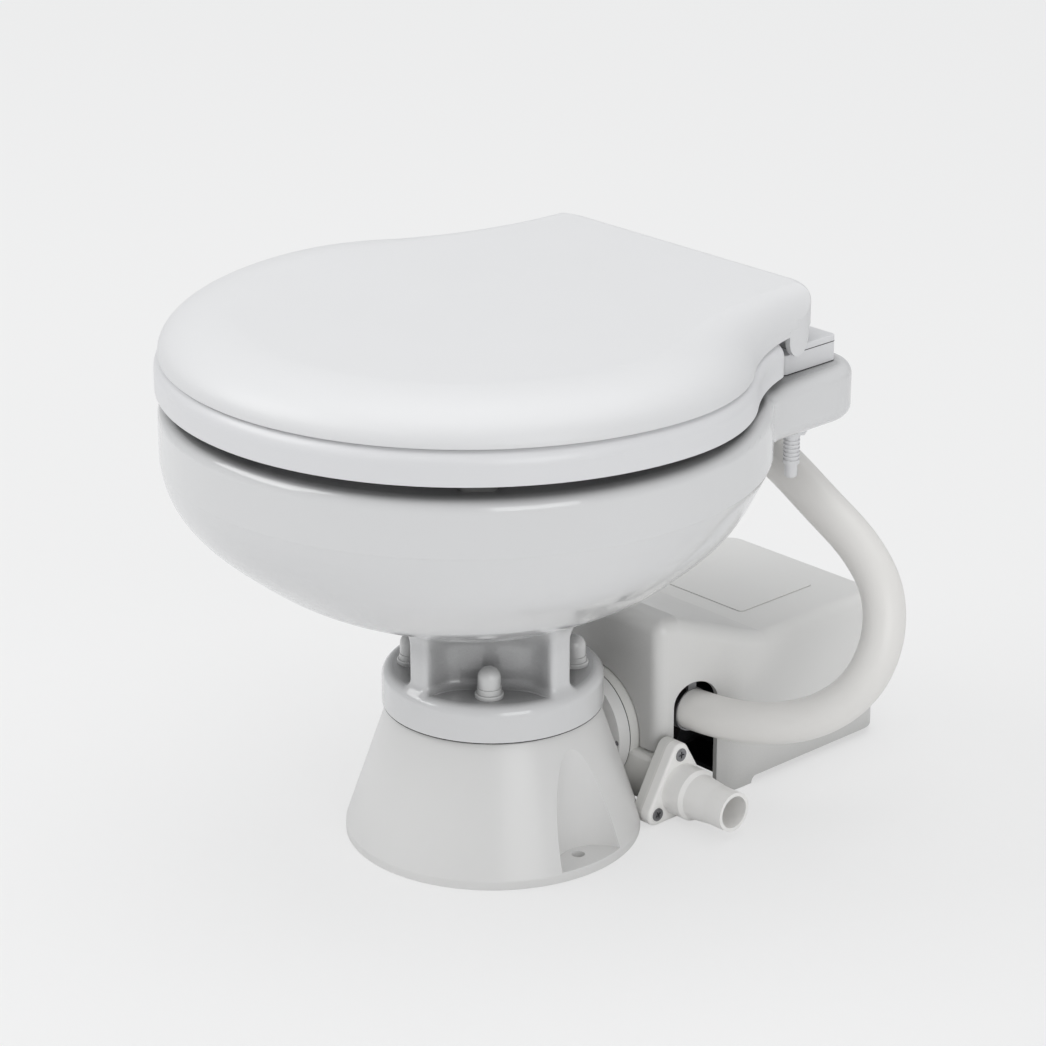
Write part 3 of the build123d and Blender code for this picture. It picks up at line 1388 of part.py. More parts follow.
with BuildPart() as cover_hollow:
    with BuildSketch(Plane.XY.offset(-overrun)):
        cover_plan(cover_wall)
    extrude(amount=cover_front_top_z + overrun * 2)
    with BuildSketch(at_x(-cover_half_w)):
        cover_top(cover_wall)
    extrude(amount=cover_half_w * 2, mode=Mode.SUBTRACT)
    top_faces = faces().filter_by(lambda f: f.normal_at().Z > 0.5)
    top_edges = top_faces.sort_by(Axis.Z)[0:3].edges()
    fillet(top_edges.filter_by(lambda e: abs(e.tangent_at(0.5).X) < 0.999), cover_inner_round)
with BuildPart() as motor_cover:
    with BuildSketch(Plane.XY):
        cover_plan(0)
    extrude(amount=cover_front_top_z + overrun)
    with BuildSketch(at_x(-cover_half_w)):
        cover_top(0)
    extrude(amount=cover_half_w * 2, mode=Mode.SUBTRACT)
    top_faces = faces().filter_by(lambda f: f.normal_at().Z > 0.5)
    fillet(top_faces.edges().filter_by(lambda e: abs(e.tangent_at(0.5).X) < 0.999), cover_top_round)
    add(cover_hollow.part, mode=Mode.SUBTRACT)
    with BuildSketch(Plane.XY.offset(cover_rear_top_z - cover_wall / 2)):
        with Locations((0, cover_pad_y)):
            RectangleRounded(cover_pad_w, cover_pad_l, cover_pad_round)
    extrude(amount=cover_pad_h + cover_wall / 2)
    with BuildSketch(Plane.XZ.offset(-cover_rear_y + cover_wall / 2)):
        with Locations((cover_screw_x, cover_screw_z), (-cover_screw_x, cover_screw_z)):
            Circle(cover_boss_r)
    extrude(amount=cover_rear_y - cover_wall / 2 - bracket_rear_y)
    with BuildSketch(at_x(-cover_half_w - overrun)):
        with Locations((slot_y, slot_top_z - slot_half_w)):
            Circle(slot_half_w)
        with Locations((slot_y, slot_top_z - slot_half_w)):
            Rectangle(slot_half_w * 2, cover_front_top_z, align=(Align.CENTER, Align.MAX))
    extrude(amount=(cover_half_w + overrun) * 2, mode=Mode.SUBTRACT)
    with BuildSketch(at_x(0, discharge_y, outlet_top_z + outlet_clear)):
        Rectangle((outlet_half_w + outlet_clear) * 2, outlet_h * 2, align=(Align.CENTER, Align.MAX))
    extrude(amount=cover_half_w, mode=Mode.SUBTRACT)
    with BuildSketch(at_axis(volute_end_y)):
        Circle(volute_r + outlet_clear)
        Rectangle((volute_r + outlet_clear) * 2, cover_front_top_z, align=(Align.CENTER, Align.MAX))
    extrude(amount=volute_end_y, mode=Mode.SUBTRACT)
    with BuildSketch(at_x(-cover_half_w - overrun, cover_foot_end_y)):
        RectangleRounded(cover_rear_y, cover_rear_lift * 2, cover_foot_round, align=(Align.MIN, Align.CENTER))
    extrude(amount=(cover_half_w + overrun) * 2, mode=Mode.SUBTRACT)
    with BuildSketch(at_axis(cover_rear_y)):
        with Locations((cover_screw_x, cover_screw_z - axis_z), (-cover_screw_x, cover_screw_z - axis_z)):
            Circle(cover_screw_r + slip_gap)
        with Locations((grommet_x, grommet_z - axis_z)):
            Circle(grommet_r)
    extrude(amount=cover_rear_y - bracket_rear_y, mode=Mode.SUBTRACT)
finish(motor_cover, "motor_cover")
print("cover volume", round(motor_cover.part.volume), "solids", len(motor_cover.part.solids()))

with BuildPart() as cover_screws:
    with BuildSketch(at_axis(cover_rear_y)):
        with Locations((cover_screw_x, cover_screw_z - axis_z), (-cover_screw_x, cover_screw_z - axis_z)):
            Circle(cover_screw_r)
    extrude(amount=cover_rear_y - bracket_rear_y + bracket_t)
    with BuildSketch(at_axis(cover_rear_y + cover_screw_head_h)):
        with Locations((cover_screw_x, cover_screw_z - axis_z), (-cover_screw_x, cover_screw_z - axis_z)):
            Circle(cover_screw_head_r)
    extrude(amount=cover_screw_head_h)
finish(cover_screws, "cover_screws")

with BuildPart() as cable_grommet:
    with BuildSketch(at_axis(cover_rear_y + grommet_lip)):
        with Locations((grommet_x, grommet_z - axis_z)):
            Circle(grommet_r + grommet_lip)
    extrude(amount=grommet_lip)
    with BuildSketch(at_axis(cover_rear_y)):
        with Locations((grommet_x, grommet_z - axis_z)):
            Circle(grommet_r)
    extrude(amount=cover_wall)
    with BuildSketch(at_axis(cover_rear_y - cover_wall)):
        with Locations((grommet_x, grommet_z - axis_z)):
            Circle(grommet_r + grommet_lip)
    extrude(amount=grommet_lip)
    with BuildSketch(at_axis(cover_rear_y + grommet_lip)):
        with Locations((grommet_x, grommet_z - axis_z)):
            Circle(grommet_bore_r)
    extrude(amount=cover_wall + grommet_lip * 2, mode=Mode.SUBTRACT)
finish(cable_grommet, "cable_grommet")
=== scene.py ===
import json
import math

import bpy
from mathutils import Matrix, Vector


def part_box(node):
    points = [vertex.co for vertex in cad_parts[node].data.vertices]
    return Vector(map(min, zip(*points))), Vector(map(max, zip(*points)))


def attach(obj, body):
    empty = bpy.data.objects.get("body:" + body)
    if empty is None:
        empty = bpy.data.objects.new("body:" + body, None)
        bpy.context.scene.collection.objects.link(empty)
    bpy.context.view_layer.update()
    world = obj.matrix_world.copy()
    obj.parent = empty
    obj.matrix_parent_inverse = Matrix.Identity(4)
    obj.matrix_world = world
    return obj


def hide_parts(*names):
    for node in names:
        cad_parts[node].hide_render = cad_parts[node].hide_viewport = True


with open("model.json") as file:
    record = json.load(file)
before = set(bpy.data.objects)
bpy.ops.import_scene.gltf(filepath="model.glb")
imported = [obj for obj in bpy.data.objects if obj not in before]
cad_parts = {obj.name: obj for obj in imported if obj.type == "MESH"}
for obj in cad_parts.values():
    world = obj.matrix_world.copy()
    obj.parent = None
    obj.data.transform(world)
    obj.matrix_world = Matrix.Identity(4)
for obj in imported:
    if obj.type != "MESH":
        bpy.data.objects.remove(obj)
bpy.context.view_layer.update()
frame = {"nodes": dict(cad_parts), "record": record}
record = frame["record"]
nodes = frame["nodes"]
scene = bpy.context.scene

MM = 0.001

# Camera of the photograph: azimuth, elevation, place in metres and focal length
# that were fitted to it, on a square frame.
AZIMUTH = math.radians(46.931)
ELEVATION = math.radians(21.396)
CAMERA_AT = Vector((1.4223, -1.3046, 0.9532))
LENS = 120.46
SENSOR_WIDTH = 36
NEAREST_SEEN = 0.05
FARTHEST_SEEN = 60


def make_camera():
    data = bpy.data.cameras.new("camera")
    data.sensor_width = SENSOR_WIDTH
    data.lens = LENS
    data.clip_start = NEAREST_SEEN
    data.clip_end = FARTHEST_SEEN
    camera = bpy.data.objects.new("camera", data)
    scene.collection.objects.link(camera)
    back = Vector((
        math.sin(AZIMUTH) * math.cos(ELEVATION),
        -math.cos(AZIMUTH) * math.cos(ELEVATION),
        math.sin(ELEVATION),
    ))
    camera.location = CAMERA_AT
    camera.rotation_mode = "QUATERNION"
    camera.rotation_quaternion = (-back).to_track_quat("-Z", "Y")
    scene.camera = camera


make_camera()


# Rinse hose, through the same route points as the CAD solid, in metres.
HOSE_POINTS = [
    (0.0393, 0.1137, 0.060),
    (0.0665, 0.1137, 0.060),
    (0.101, 0.122, 0.0615),
    (0.134, 0.138, 0.070),
    (0.157, 0.154, 0.091),
    (0.164, 0.167, 0.120),
    (0.156, 0.176, 0.150),
    (0.134, 0.178, 0.173),
    (0.102, 0.176, 0.192),
    (0.074, 0.1775, 0.2065),
    (0.0497, 0.1775, 0.2171),
    (0.0251, 0.1745, 0.2250),
]
HOSE_RADIUS = 0.013
HOSE_ROUND_STEPS = 10
HOSE_STEPS = 24
HOSE_SMOOTHNESS = 3


def make_hose():
    data = bpy.data.curves.new("hose_visual", "CURVE")
    data.dimensions = "3D"
    data.bevel_depth = HOSE_RADIUS
    data.bevel_resolution = HOSE_ROUND_STEPS
    data.resolution_u = HOSE_STEPS
    data.use_fill_caps = True
    spline = data.splines.new("NURBS")
    spline.points.add(len(HOSE_POINTS) - 1)
    for place, point in zip(spline.points, HOSE_POINTS):
        place.co = (*point, 1)
    spline.order_u = HOSE_SMOOTHNESS
    spline.use_endpoint_u = True
    data.materials.append(materials["hose_rubber"])
    hose = bpy.data.objects.new("hose_visual", data)
    scene.collection.objects.link(hose)
    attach(hose, "root")
    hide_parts("rinse_hose")


# Materials. Each one has broad colour drift, fine roughness variation and a
# surface bump at its own scale, all from object coordinates in metres. The
# moulded and fired ones carry painted shade: their colour is darker where
# their surface is hemmed in.
class Nodes:
    """Adds nodes to one material and links them."""

    def __init__(self, name):
        self.mat = bpy.data.materials.new(name)
        self.mat.use_nodes = True
        self.tree = self.mat.node_tree
        self.tree.nodes.clear()
        self.out = self.add("ShaderNodeOutputMaterial")
        self.bsdf = self.add("ShaderNodeBsdfPrincipled")
        self.link(self.bsdf.outputs[0], self.out.inputs["Surface"])
        self.coord = self.add("ShaderNodeTexCoord").outputs["Object"]

    def add(self, kind, **values):
        node = self.tree.nodes.new(kind)
        for key, value in values.items():
            setattr(node, key, value)
        return node

    def link(self, a, b):
        self.tree.links.new(a, b)

    def noise(self, scale, detail, rough):
        node = self.add("ShaderNodeTexNoise")
        node.inputs["Scale"].default_value = scale
        node.inputs["Detail"].default_value = detail
        node.inputs["Roughness"].default_value = rough
        self.link(self.coord, node.inputs["Vector"])
        return node.outputs["Fac"]

    def ramp(self, value, low, high, start=0.3, end=0.7):
        node = self.add("ShaderNodeMapRange")
        node.inputs["From Min"].default_value = start
        node.inputs["From Max"].default_value = end
        node.inputs["To Min"].default_value = low
        node.inputs["To Max"].default_value = high
        self.link(value, node.inputs["Value"])
        return node.outputs["Result"]

    def mix(self, factor, a, b):
        node = self.add("ShaderNodeMix", data_type="RGBA")
        self.link(factor, node.inputs["Factor"])
        colours = {socket.name: socket for socket in node.inputs if socket.type == "RGBA"}
        for name, value in (("A", a), ("B", b)):
            if isinstance(value, tuple):
                colours[name].default_value = (*value, 1)
            else:
                self.link(value, colours[name])
        return next(socket for socket in node.outputs if socket.type == "RGBA")

    def bump(self, height, distance, onto=None):
        node = self.add("ShaderNodeBump")
        node.inputs["Strength"].default_value = 1
        node.inputs["Distance"].default_value = distance
        self.link(height, node.inputs["Height"])
        if onto is not None:
            self.link(onto, node.inputs["Normal"])
        return node.outputs["Normal"]


def shade(colour, factor):
    return tuple(min(1, channel * factor) for channel in colour)


# Scale, detail and roughness of the noises that all finishes share.
COLOUR_DRIFT = (9, 4, 0.55)
SHEEN_DRIFT = (40, 5, 0.6)
GRAIN_DETAIL = (2, 0.5)
WAVE_DETAIL = (1, 0.4)
SHEEN_LOW, SHEEN_HIGH = 0.93, 1.08
# How far, in metres, the painted crevice shade looks for other surfaces, and
# the open shares between which that painted shade sets in.
CREVICE_REACH = 0.05
CREVICE_CLOSED, CREVICE_OPEN = 0.4, 0.9
CREVICE_SAMPLES = 8


def surface(name, colour, roughness, drift=0.03, grain=900, grain_depth=0.00003,
            wave=14, wave_depth=0.0, coat=0.0, coat_roughness=0.05, metallic=0.0, ior=1.5,
            crevice_shade=1.0):
    n = Nodes(name)
    bsdf = n.bsdf
    bsdf.inputs["Metallic"].default_value = metallic
    bsdf.inputs["IOR"].default_value = ior
    bsdf.inputs["Coat Weight"].default_value = coat
    bsdf.inputs["Coat Roughness"].default_value = coat_roughness
    broad = n.ramp(n.noise(*COLOUR_DRIFT), 0, 1)
    colour_out = n.mix(broad, shade(colour, 1 - drift), shade(colour, 1 + drift))
    # Painted shade: the colour darkens towards this share of itself where ambient occlusion finds other
    # surfaces close by.
    if crevice_shade < 1:
        open_share = n.add("ShaderNodeAmbientOcclusion", samples=CREVICE_SAMPLES)
        open_share.inputs["Distance"].default_value = CREVICE_REACH
        shade_share = n.ramp(open_share.outputs["AO"], 1, 0, CREVICE_CLOSED, CREVICE_OPEN)
        colour_out = n.mix(shade_share, colour_out, shade(colour, crevice_shade))
    n.link(colour_out, bsdf.inputs["Base Color"])
    rough_out = n.ramp(n.noise(*SHEEN_DRIFT), roughness * SHEEN_LOW, roughness * SHEEN_HIGH)
    n.link(rough_out, bsdf.inputs["Roughness"])
    normal = n.bump(n.noise(grain, *GRAIN_DETAIL), grain_depth)
    if wave_depth:
        normal = n.bump(n.noise(wave, *WAVE_DETAIL), wave_depth, normal)
    n.link(normal, bsdf.inputs["Normal"])
    return n.mat


LOOKS = {
    "ceramic": dict(colour=(0.705, 0.705, 0.708), roughness=0.16, drift=0.008, grain=350,
                    grain_depth=0.000008, wave=16, wave_depth=0.0003, coat=0.5, coat_roughness=0.05,
                    ior=1.55, crevice_shade=0.3),
    "base_plastic": dict(colour=(0.76, 0.755, 0.745), roughness=0.34, drift=0.008, grain=1300,
                         grain_depth=0.000008, wave=22, wave_depth=0.0002, coat=0.2, coat_roughness=0.2),
    "seat_plastic": dict(colour=(0.75, 0.75, 0.76), roughness=0.36, drift=0.005, grain=1100,
                         grain_depth=0.000006, coat=0.15, coat_roughness=0.2),
    "lid_plastic": dict(colour=(0.75, 0.75, 0.755), roughness=0.46, drift=0.005, grain=1100,
                        grain_depth=0.000005, coat=0.1, coat_roughness=0.3),
    # The bumpers are dark partly as their own rubber and partly as painted shade in the gap between seat
    # and bowl.
    "bumper_rubber": dict(colour=(0.12, 0.12, 0.118), roughness=0.6, drift=0.08),
    "rubber": dict(colour=(0.03, 0.03, 0.03), roughness=0.6, drift=0.1, grain=700, grain_depth=0.00005),
    "nut_plastic": dict(colour=(0.70, 0.70, 0.695), roughness=0.24, drift=0.01, coat=0.3, crevice_shade=0.6),
    "steel": dict(colour=(0.30, 0.30, 0.31), roughness=0.3, drift=0.12, metallic=1.0, grain=1500,
                  grain_depth=0.00002),
    "hose_rubber": dict(colour=(0.83, 0.815, 0.79), roughness=0.34, drift=0.01, grain=600,
                        grain_depth=0.00002, wave=30, wave_depth=0.0002),
    "pump_plastic": dict(colour=(0.74, 0.735, 0.71), roughness=0.38, drift=0.015, grain=1200,
                         grain_depth=0.00003),
    "discharge_plastic": dict(colour=(0.93, 0.92, 0.90), roughness=0.36, drift=0.01, grain=1200,
                              grain_depth=0.00003, coat=0.1, coat_roughness=0.3),
    "brass": dict(colour=(0.62, 0.43, 0.18), roughness=0.3, drift=0.1, metallic=1.0),
    "copper": dict(colour=(0.75, 0.38, 0.24), roughness=0.32, drift=0.1, metallic=1.0),
    "laminations": dict(colour=(0.14, 0.14, 0.15), roughness=0.45, drift=0.15, metallic=0.8),
    "motor_paint": dict(colour=(0.025, 0.025, 0.027), roughness=0.45, drift=0.1),
    "cover_plastic": dict(colour=(0.76, 0.755, 0.74), roughness=0.3, drift=0.006, grain=1300,
                          grain_depth=0.000005, wave=22, wave_depth=0.00015, coat=0.3, coat_roughness=0.14,
                          crevice_shade=0.65),
    "white_rubber": dict(colour=(0.78, 0.77, 0.745), roughness=0.5, drift=0.02, grain=700,
                         grain_depth=0.00003),
    "black_plastic": dict(colour=(0.012, 0.012, 0.012), roughness=0.5, drift=0.1, grain=1200),
}
materials = {slot: surface(slot + "_look", **look) for slot, look in LOOKS.items()}
# Nodes whose finish differs from that of their slot. The pump body is near
# black as painted shade inside the cover; the motor bracket takes the black
# motor paint, which is partly its own colour and partly painted shade there.
OTHER_LOOKS = {
    "joker_valve": "white_rubber",
    "pump_body": "black_plastic",
    "motor_bracket": "motor_paint",
}


def finish_cad_nodes():
    for part in record["subparts"]:
        node = part["node"]
        look = OTHER_LOOKS.get(node, part["material_slot"])
        nodes[node].data.materials.clear()
        nodes[node].data.materials.append(materials[look])


finish_cad_nodes()
make_hose()


# Cove of the bowl's foot: the fins and the neck flare into the flange below and
# into the bowl above. The surface is sampled round the neck, in millimetres.
NECK_R = 36.2
FIN_END = 60.7
FIN_HALF = 7.9
FIN_ROUND = 3.5
FLANGE_TOP = 107.0
FLANGE_EDGE = 60.5
FLANGE_ROUND = 6.5
LOW_COVE = 5.0
HIGH_COVE = 15.0
PLAN_BLEND = 17.0
# The cove is a ring: inside, it keeps clear of the bowl's outlet, and its upper
# edge ends in a skirt that is sunk in the bowl.
INNER_R = 31.0
INNER_TOP = 148.0
TOP_SKIRT = 2.5
SUNK = 0.2
COVE_LEVELS = 30
# Search for a surface between these radii, halved this often.
SEARCH_R = (15.0, 85.0)
SEARCH_STEPS = 26
# Height, place along Y and radius of the bowl's lowest sections.
BOWL_SECTIONS = [
    (146.0, -8.0, 41.9),
    (153.9, -14.0, 66.9),
    (166.0, -17.5, 92.5),
    (173.8, -18.5, 108.5),
    (182.2, -19.0, 122.8),
]
# Degrees from the middle of a fin, closest together round its rounded end.
COVE_ANGLES = [
    0, 2, 4, 5.5, 6.5, 7.1, 7.6, 8.1, 8.7, 9.3, 10, 10.8,
    11.7, 12.7, 14, 15.5, 17.2, 19, 21, 23.5, 26.5, 30, 34, 39,
]


def fin_distance(along, across):
    """Distance in plan from the outline of a pair of opposite fins."""
    x = abs(along) - FIN_END + FIN_ROUND
    y = abs(across) - FIN_HALF + FIN_ROUND
    return math.hypot(max(x, 0), max(y, 0)) + min(max(x, y), 0) - FIN_ROUND


def foot_distance(x, y):
    """Distance in plan from the neck and its four fins, blended where they meet."""
    fins = min(fin_distance(x, y), fin_distance(y, x))
    neck = math.hypot(x, y) - NECK_R
    near = max(PLAN_BLEND - abs(neck - fins), 0) / PLAN_BLEND
    return min(neck, fins) - near * near * PLAN_BLEND / 4


def bowl_height(x, y):
    """Height of the bowl's underside over a place."""
    last = None
    for height, centre, radius in BOWL_SECTIONS:
        over = math.hypot(x, y - centre) - radius
        if over <= 0:
            if last is None:
                return height
            share = last[1] / (last[1] - over)
            return last[0] + (height - last[0]) * share
        last = (height, over)
    return BOWL_SECTIONS[-1][0]


def flange_height(radius):
    over = min(max(radius - FLANGE_EDGE, 0), FLANGE_ROUND)
    return FLANGE_TOP - FLANGE_ROUND + math.sqrt(FLANGE_ROUND ** 2 - over ** 2)


def cove(distance, size):
    """How far a quarter round of this size stands out, at a distance from its foot."""
    if distance >= size:
        return 0
    distance = max(distance, 0)
    return size - math.sqrt(size ** 2 - (size - distance) ** 2)


def first_radius(angle, is_outside):
    """Radius along an angle at which is_outside(x, y, radius) turns true."""
    low, high = SEARCH_R
    for step in range(SEARCH_STEPS):
        radius = (low + high) / 2
        if is_outside(radius * math.cos(angle), radius * math.sin(angle), radius):
            high = radius
        else:
            low = radius
    return (low + high) / 2


def edge_radius(angle, offset):
    return first_radius(angle, lambda x, y, radius: foot_distance(x, y) > offset)


def cove_radius(angle, height):
    def is_outside(x, y, radius):
        value = foot_distance(x, y)
        value -= cove(height - flange_height(radius), LOW_COVE)
        value -= cove(bowl_height(x, y) - height, HIGH_COVE)
        return value > 0

    return first_radius(angle, is_outside)


def cove_row(angle):
    """Closed section of the cove at an angle, as points (radius, height)."""
    bottom = flange_height(edge_radius(angle, LOW_COVE)) - SUNK
    high_r = edge_radius(angle, HIGH_COVE)
    top = bowl_height(high_r * math.cos(angle), high_r * math.sin(angle)) + SUNK
    row = []
    for level in range(COVE_LEVELS + 1):
        share = (1 - math.cos(math.pi * level / COVE_LEVELS)) / 2
        height = bottom + (top - bottom) * share
        radius = cove_radius(angle, height)
        row.append((radius, height))
    return row + [(radius, top + TOP_SKIRT), (INNER_R, INNER_TOP), (INNER_R, bottom)]


def mesh_piece(name, mesh, slot):
    """Puts a finished mesh on the fixed body, with the finish of a slot."""
    mesh.materials.append(materials[slot])
    piece = bpy.data.objects.new(name, mesh)
    scene.collection.objects.link(piece)
    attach(piece, "root")


def ring_mesh(name, rows):
    """Mesh round the Z axis through closed sections, (angle, [(radius, height)]), in mm."""
    verts = []
    for angle, row in rows:
        verts += [(r * math.cos(angle) * MM, r * math.sin(angle) * MM, z * MM) for r, z in row]
    step = len(rows[0][1])
    faces = []
    for i in range(len(rows)):
        j = (i + 1) % len(rows)
        for k in range(step):
            m = (k + 1) % step
            faces.append((i * step + k, j * step + k, j * step + m, i * step + m))
    mesh = bpy.data.meshes.new(name)
    mesh.from_pydata(verts, [], faces)
    return mesh


def make_foot_cove():
    degrees = []
    for quadrant in range(4):
        degrees += [quadrant * 90 + turn for turn in COVE_ANGLES]
        degrees += [quadrant * 90 + 45]
        degrees += [quadrant * 90 + 90 - turn for turn in reversed(COVE_ANGLES[1:])]
    rows = [(math.radians(turn), cove_row(math.radians(turn))) for turn in degrees]
    mesh = ring_mesh("foot_cove", rows)
    step = len(rows[0][1])
    for polygon in mesh.polygons:
        polygon.use_smooth = polygon.index % step <= COVE_LEVELS
    mesh_piece("foot_cove", mesh, "ceramic")


make_foot_cove()


# Dark edge of the gasket under the bowl's foot, just inside the flange's rim.
GASKET_EDGE_R = (62.6, 66.75)
GASKET_EDGE_Z = (83.7, 84.47)
GASKET_EDGE_RISE = 0.05
GASKET_EDGE_SIDES = 160


def make_gasket_edge():
    inner_r, outer_r = GASKET_EDGE_R
    low, high = GASKET_EDGE_Z
    section = [(inner_r, low), (outer_r, low + GASKET_EDGE_RISE), (outer_r, high), (inner_r, high)]
    turns = [2 * math.pi * side / GASKET_EDGE_SIDES for side in range(GASKET_EDGE_SIDES)]
    mesh = ring_mesh("foot_gasket_edge", [(turn, section) for turn in turns])
    mesh_piece("foot_gasket_edge", mesh, "rubber")


make_gasket_edge()


# Seams of the two hinge blocks and their caps: a flat plate with round corners,
# filled, thickened and set on both sides by one Geometry Nodes tree. Each plate
# lies across the joint under its block and stands a little proud all round.
SEAM_SIZES = ("Width", "Depth", "Corner radius", "Thickness", "Half spacing")
SEAM_PROUD = 0.07 * MM
SEAM_CORNER_R = 2.57 * MM
SEAM_CORNER_STEPS = 6
SEAM_WELD = 0.01 * MM


def make_hinge_seam_tree():
    tree = bpy.data.node_groups.new("hinge_seams", "GeometryNodeTree")
    tree.interface.new_socket(name="Geometry", in_out="OUTPUT", socket_type="NodeSocketGeometry")
    for size in SEAM_SIZES:
        tree.interface.new_socket(name=size, in_out="INPUT", socket_type="NodeSocketFloat")
    sizes = tree.nodes.new("NodeGroupInput").outputs
    end = tree.nodes.new("NodeGroupOutput")

    def add(kind, *links, **values):
        node = tree.nodes.new("GeometryNode" + kind)
        for key, value in values.items():
            setattr(node, key, value)
        for source, socket in links:
            tree.links.new(source, node.inputs[socket])
        return node

    def across(source, factor):
        scaled = tree.nodes.new("ShaderNodeMath")
        scaled.operation = "MULTIPLY"
        scaled.inputs[1].default_value = factor
        tree.links.new(source, scaled.inputs[0])
        vector = tree.nodes.new("ShaderNodeCombineXYZ")
        tree.links.new(scaled.outputs[0], vector.inputs["X"])
        return vector.outputs[0]

    outline = add("CurvePrimitiveQuadrilateral", (sizes["Width"], "Width"), (sizes["Depth"], "Height"))
    rounded = add("FilletCurve", (outline.outputs[0], "Curve"), (sizes["Corner radius"], "Radius"),
                  mode="POLY")
    rounded.inputs["Count"].default_value = SEAM_CORNER_STEPS
    plate = add("FillCurve", (rounded.outputs[0], "Curve"), mode="NGONS")
    thick = add("ExtrudeMesh", (plate.outputs[0], "Mesh"), (sizes["Thickness"], "Offset Scale"))
    under = add("FlipFaces", (plate.outputs[0], "Mesh"))
    whole = add("JoinGeometry", (thick.outputs["Mesh"], 0), (under.outputs[0], 0))
    closed = add("MergeByDistance", (whole.outputs[0], 0))
    closed.inputs["Distance"].default_value = SEAM_WELD
    sides = add("MeshLine", (across(sizes["Half spacing"], -1), "Start Location"),
                (across(sizes["Half spacing"], 2), "Offset"))
    sides.inputs["Count"].default_value = 2
    spread = add("InstanceOnPoints", (sides.outputs[0], "Points"), (closed.outputs[0], "Instance"))
    real = add("RealizeInstances", (spread.outputs[0], 0))
    dark = add("SetMaterial", (real.outputs[0], "Geometry"))
    dark.inputs["Material"].default_value = materials["rubber"]
    tree.links.new(dark.outputs[0], end.inputs[0])
    return tree


hinge_seam_tree = make_hinge_seam_tree()


def make_hinge_seams(name, block, sunk, thickness):
    """Seam under a node on the right, sunk this far below it, and its twin on the left."""
    low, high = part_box(block)
    middle = (low + high) / 2
    sizes = {
        "Width": high.x - low.x + SEAM_PROUD * 2,
        "Depth": high.y - low.y + SEAM_PROUD * 2,
        "Corner radius": SEAM_CORNER_R,
        "Thickness": thickness,
        "Half spacing": middle.x,
    }
    maker = bpy.data.objects.new(name + "_maker", bpy.data.meshes.new(name + "_maker"))
    scene.collection.objects.link(maker)
    modifier = maker.modifiers.new("seams", "NODES")
    modifier.node_group = hinge_seam_tree
    for item in hinge_seam_tree.interface.items_tree:
        if item.in_out == "INPUT":
            modifier[item.identifier] = sizes[item.name]
    bpy.context.view_layer.update()
    solved = maker.evaluated_get(bpy.context.evaluated_depsgraph_get())
    mesh = bpy.data.meshes.new_from_object(solved)
    bpy.data.objects.remove(maker)
    mesh.name = name
    mesh.transform(Matrix.Translation((0, middle.y, low.z - sunk)))
    seams = bpy.data.objects.new(name, mesh)
    scene.collection.objects.link(seams)
    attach(seams, "root")


make_hinge_seams("block_seams", "hinge_block_right", sunk=0.1 * MM, thickness=0.6 * MM)
make_hinge_seams("cap_seams", "hinge_cap_right", sunk=0.25 * MM, thickness=0.5 * MM)


# Floor, world and lamps. Both the floor and the world have one look for the
# camera, the photograph's plain background, and another for the light they give.
FLOOR_HALF = 8
FLOOR_DROP = 0.0004
FLOOR_BOUNCE = 0.85
FLOOR_SEEN = 0.30
GLOW_REACH = (0.5, 4.5)
GLOW_STRENGTH = (0.575, 0.71)
WORLD_SEEN = 0.855
WORLD_LIGHT = (0.97, 0.985, 1.0)
WORLD_STRENGTH = 0.5


def grey(value):
    return (value, value, value, 1)


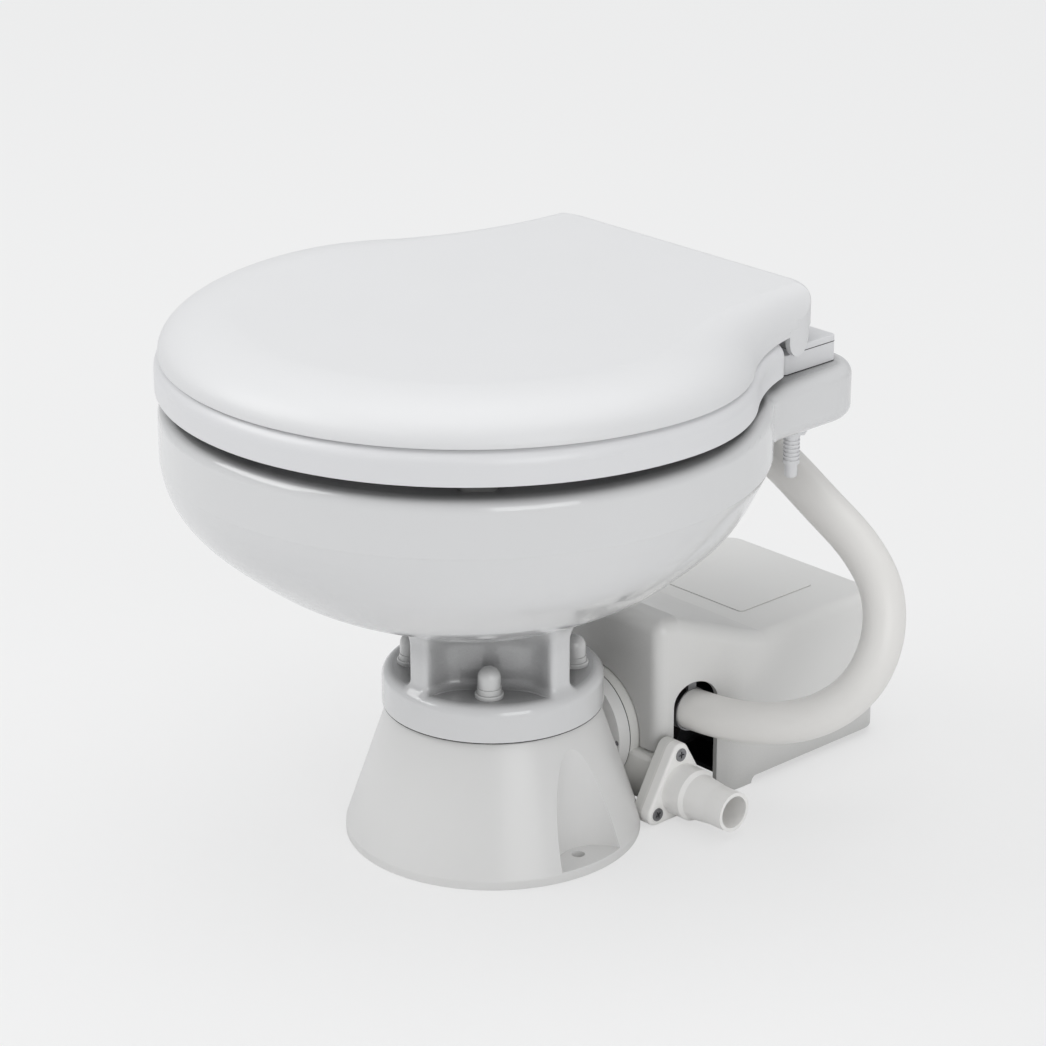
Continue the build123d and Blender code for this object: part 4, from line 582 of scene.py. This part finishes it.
def make_floor():
    half = FLOOR_HALF
    corners = [(-half, -half, 0), (half, -half, 0), (half, half, 0), (-half, half, 0)]
    mesh = bpy.data.meshes.new("floor")
    mesh.from_pydata(corners, [], [(0, 1, 2, 3)])
    floor = bpy.data.objects.new("floor", mesh)
    floor.location.z = -FLOOR_DROP
    scene.collection.objects.link(floor)
    mat = bpy.data.materials.new("floor_look")
    mat.use_nodes = True
    tree = mat.node_tree
    tree.nodes.clear()
    out = tree.nodes.new("ShaderNodeOutputMaterial")
    diffuse = tree.nodes.new("ShaderNodeBsdfDiffuse")
    diffuse.inputs["Color"].default_value = grey(FLOOR_SEEN)
    plain = tree.nodes.new("ShaderNodeBsdfDiffuse")
    plain.inputs["Color"].default_value = grey(FLOOR_BOUNCE)
    glow = tree.nodes.new("ShaderNodeEmission")
    glow.inputs["Color"].default_value = grey(1)
    # The lamps light less of the floor further out, so its glow rises there.
    coord = tree.nodes.new("ShaderNodeTexCoord")
    reach = tree.nodes.new("ShaderNodeVectorMath")
    reach.operation = "LENGTH"
    rise = tree.nodes.new("ShaderNodeMapRange")
    rise.inputs["From Min"].default_value, rise.inputs["From Max"].default_value = GLOW_REACH
    rise.inputs["To Min"].default_value, rise.inputs["To Max"].default_value = GLOW_STRENGTH
    both = tree.nodes.new("ShaderNodeAddShader")
    pick = tree.nodes.new("ShaderNodeMixShader")
    rays = tree.nodes.new("ShaderNodeLightPath")
    tree.links.new(coord.outputs["Object"], reach.inputs[0])
    tree.links.new(reach.outputs["Value"], rise.inputs["Value"])
    tree.links.new(rise.outputs["Result"], glow.inputs["Strength"])
    tree.links.new(diffuse.outputs[0], both.inputs[0])
    tree.links.new(glow.outputs[0], both.inputs[1])
    tree.links.new(rays.outputs["Is Camera Ray"], pick.inputs[0])
    tree.links.new(plain.outputs[0], pick.inputs[1])
    tree.links.new(both.outputs[0], pick.inputs[2])
    tree.links.new(pick.outputs[0], out.inputs["Surface"])
    mesh.materials.append(mat)


def make_world():
    world = bpy.data.worlds.new("studio")
    world.use_nodes = True
    scene.world = world
    tree = world.node_tree
    light = tree.nodes["Background"]
    light.inputs["Color"].default_value = (*WORLD_LIGHT, 1)
    light.inputs["Strength"].default_value = WORLD_STRENGTH
    seen = tree.nodes.new("ShaderNodeBackground")
    seen.inputs["Color"].default_value = grey(WORLD_SEEN)
    rays = tree.nodes.new("ShaderNodeLightPath")
    pick = tree.nodes.new("ShaderNodeMixShader")
    tree.links.new(rays.outputs["Is Camera Ray"], pick.inputs[0])
    tree.links.new(light.outputs[0], pick.inputs[1])
    tree.links.new(seen.outputs[0], pick.inputs[2])
    tree.links.new(pick.outputs[0], tree.nodes["World Output"].inputs["Surface"])


def make_lamp(name, place, target, size, power):
    """Soft rectangular lamp at a place, turned to a target, in metres and watts."""
    data = bpy.data.lights.new(name, "AREA")
    data.shape = "RECTANGLE"
    data.size, data.size_y = size
    data.energy = power
    obj = bpy.data.objects.new(name, data)
    obj.location = place
    obj.rotation_mode = "QUATERNION"
    obj.rotation_quaternion = (Vector(target) - Vector(place)).to_track_quat("-Z", "Y")
    scene.collection.objects.link(obj)


make_floor()
make_world()
make_lamp("key", place=(-1.3, -1.5, 2.0), target=(0, 0, 0.2), size=(1.8, 1.4), power=24)
make_lamp("top", place=(0.1, 0.3, 2.4), target=(0, 0, 0.2), size=(2.2, 2.2), power=20)
make_lamp("fill", place=(2.4, -0.8, 0.9), target=(0, 0, 0.15), size=(1.4, 1.4), power=15)

scene.view_settings.view_transform = "Standard"
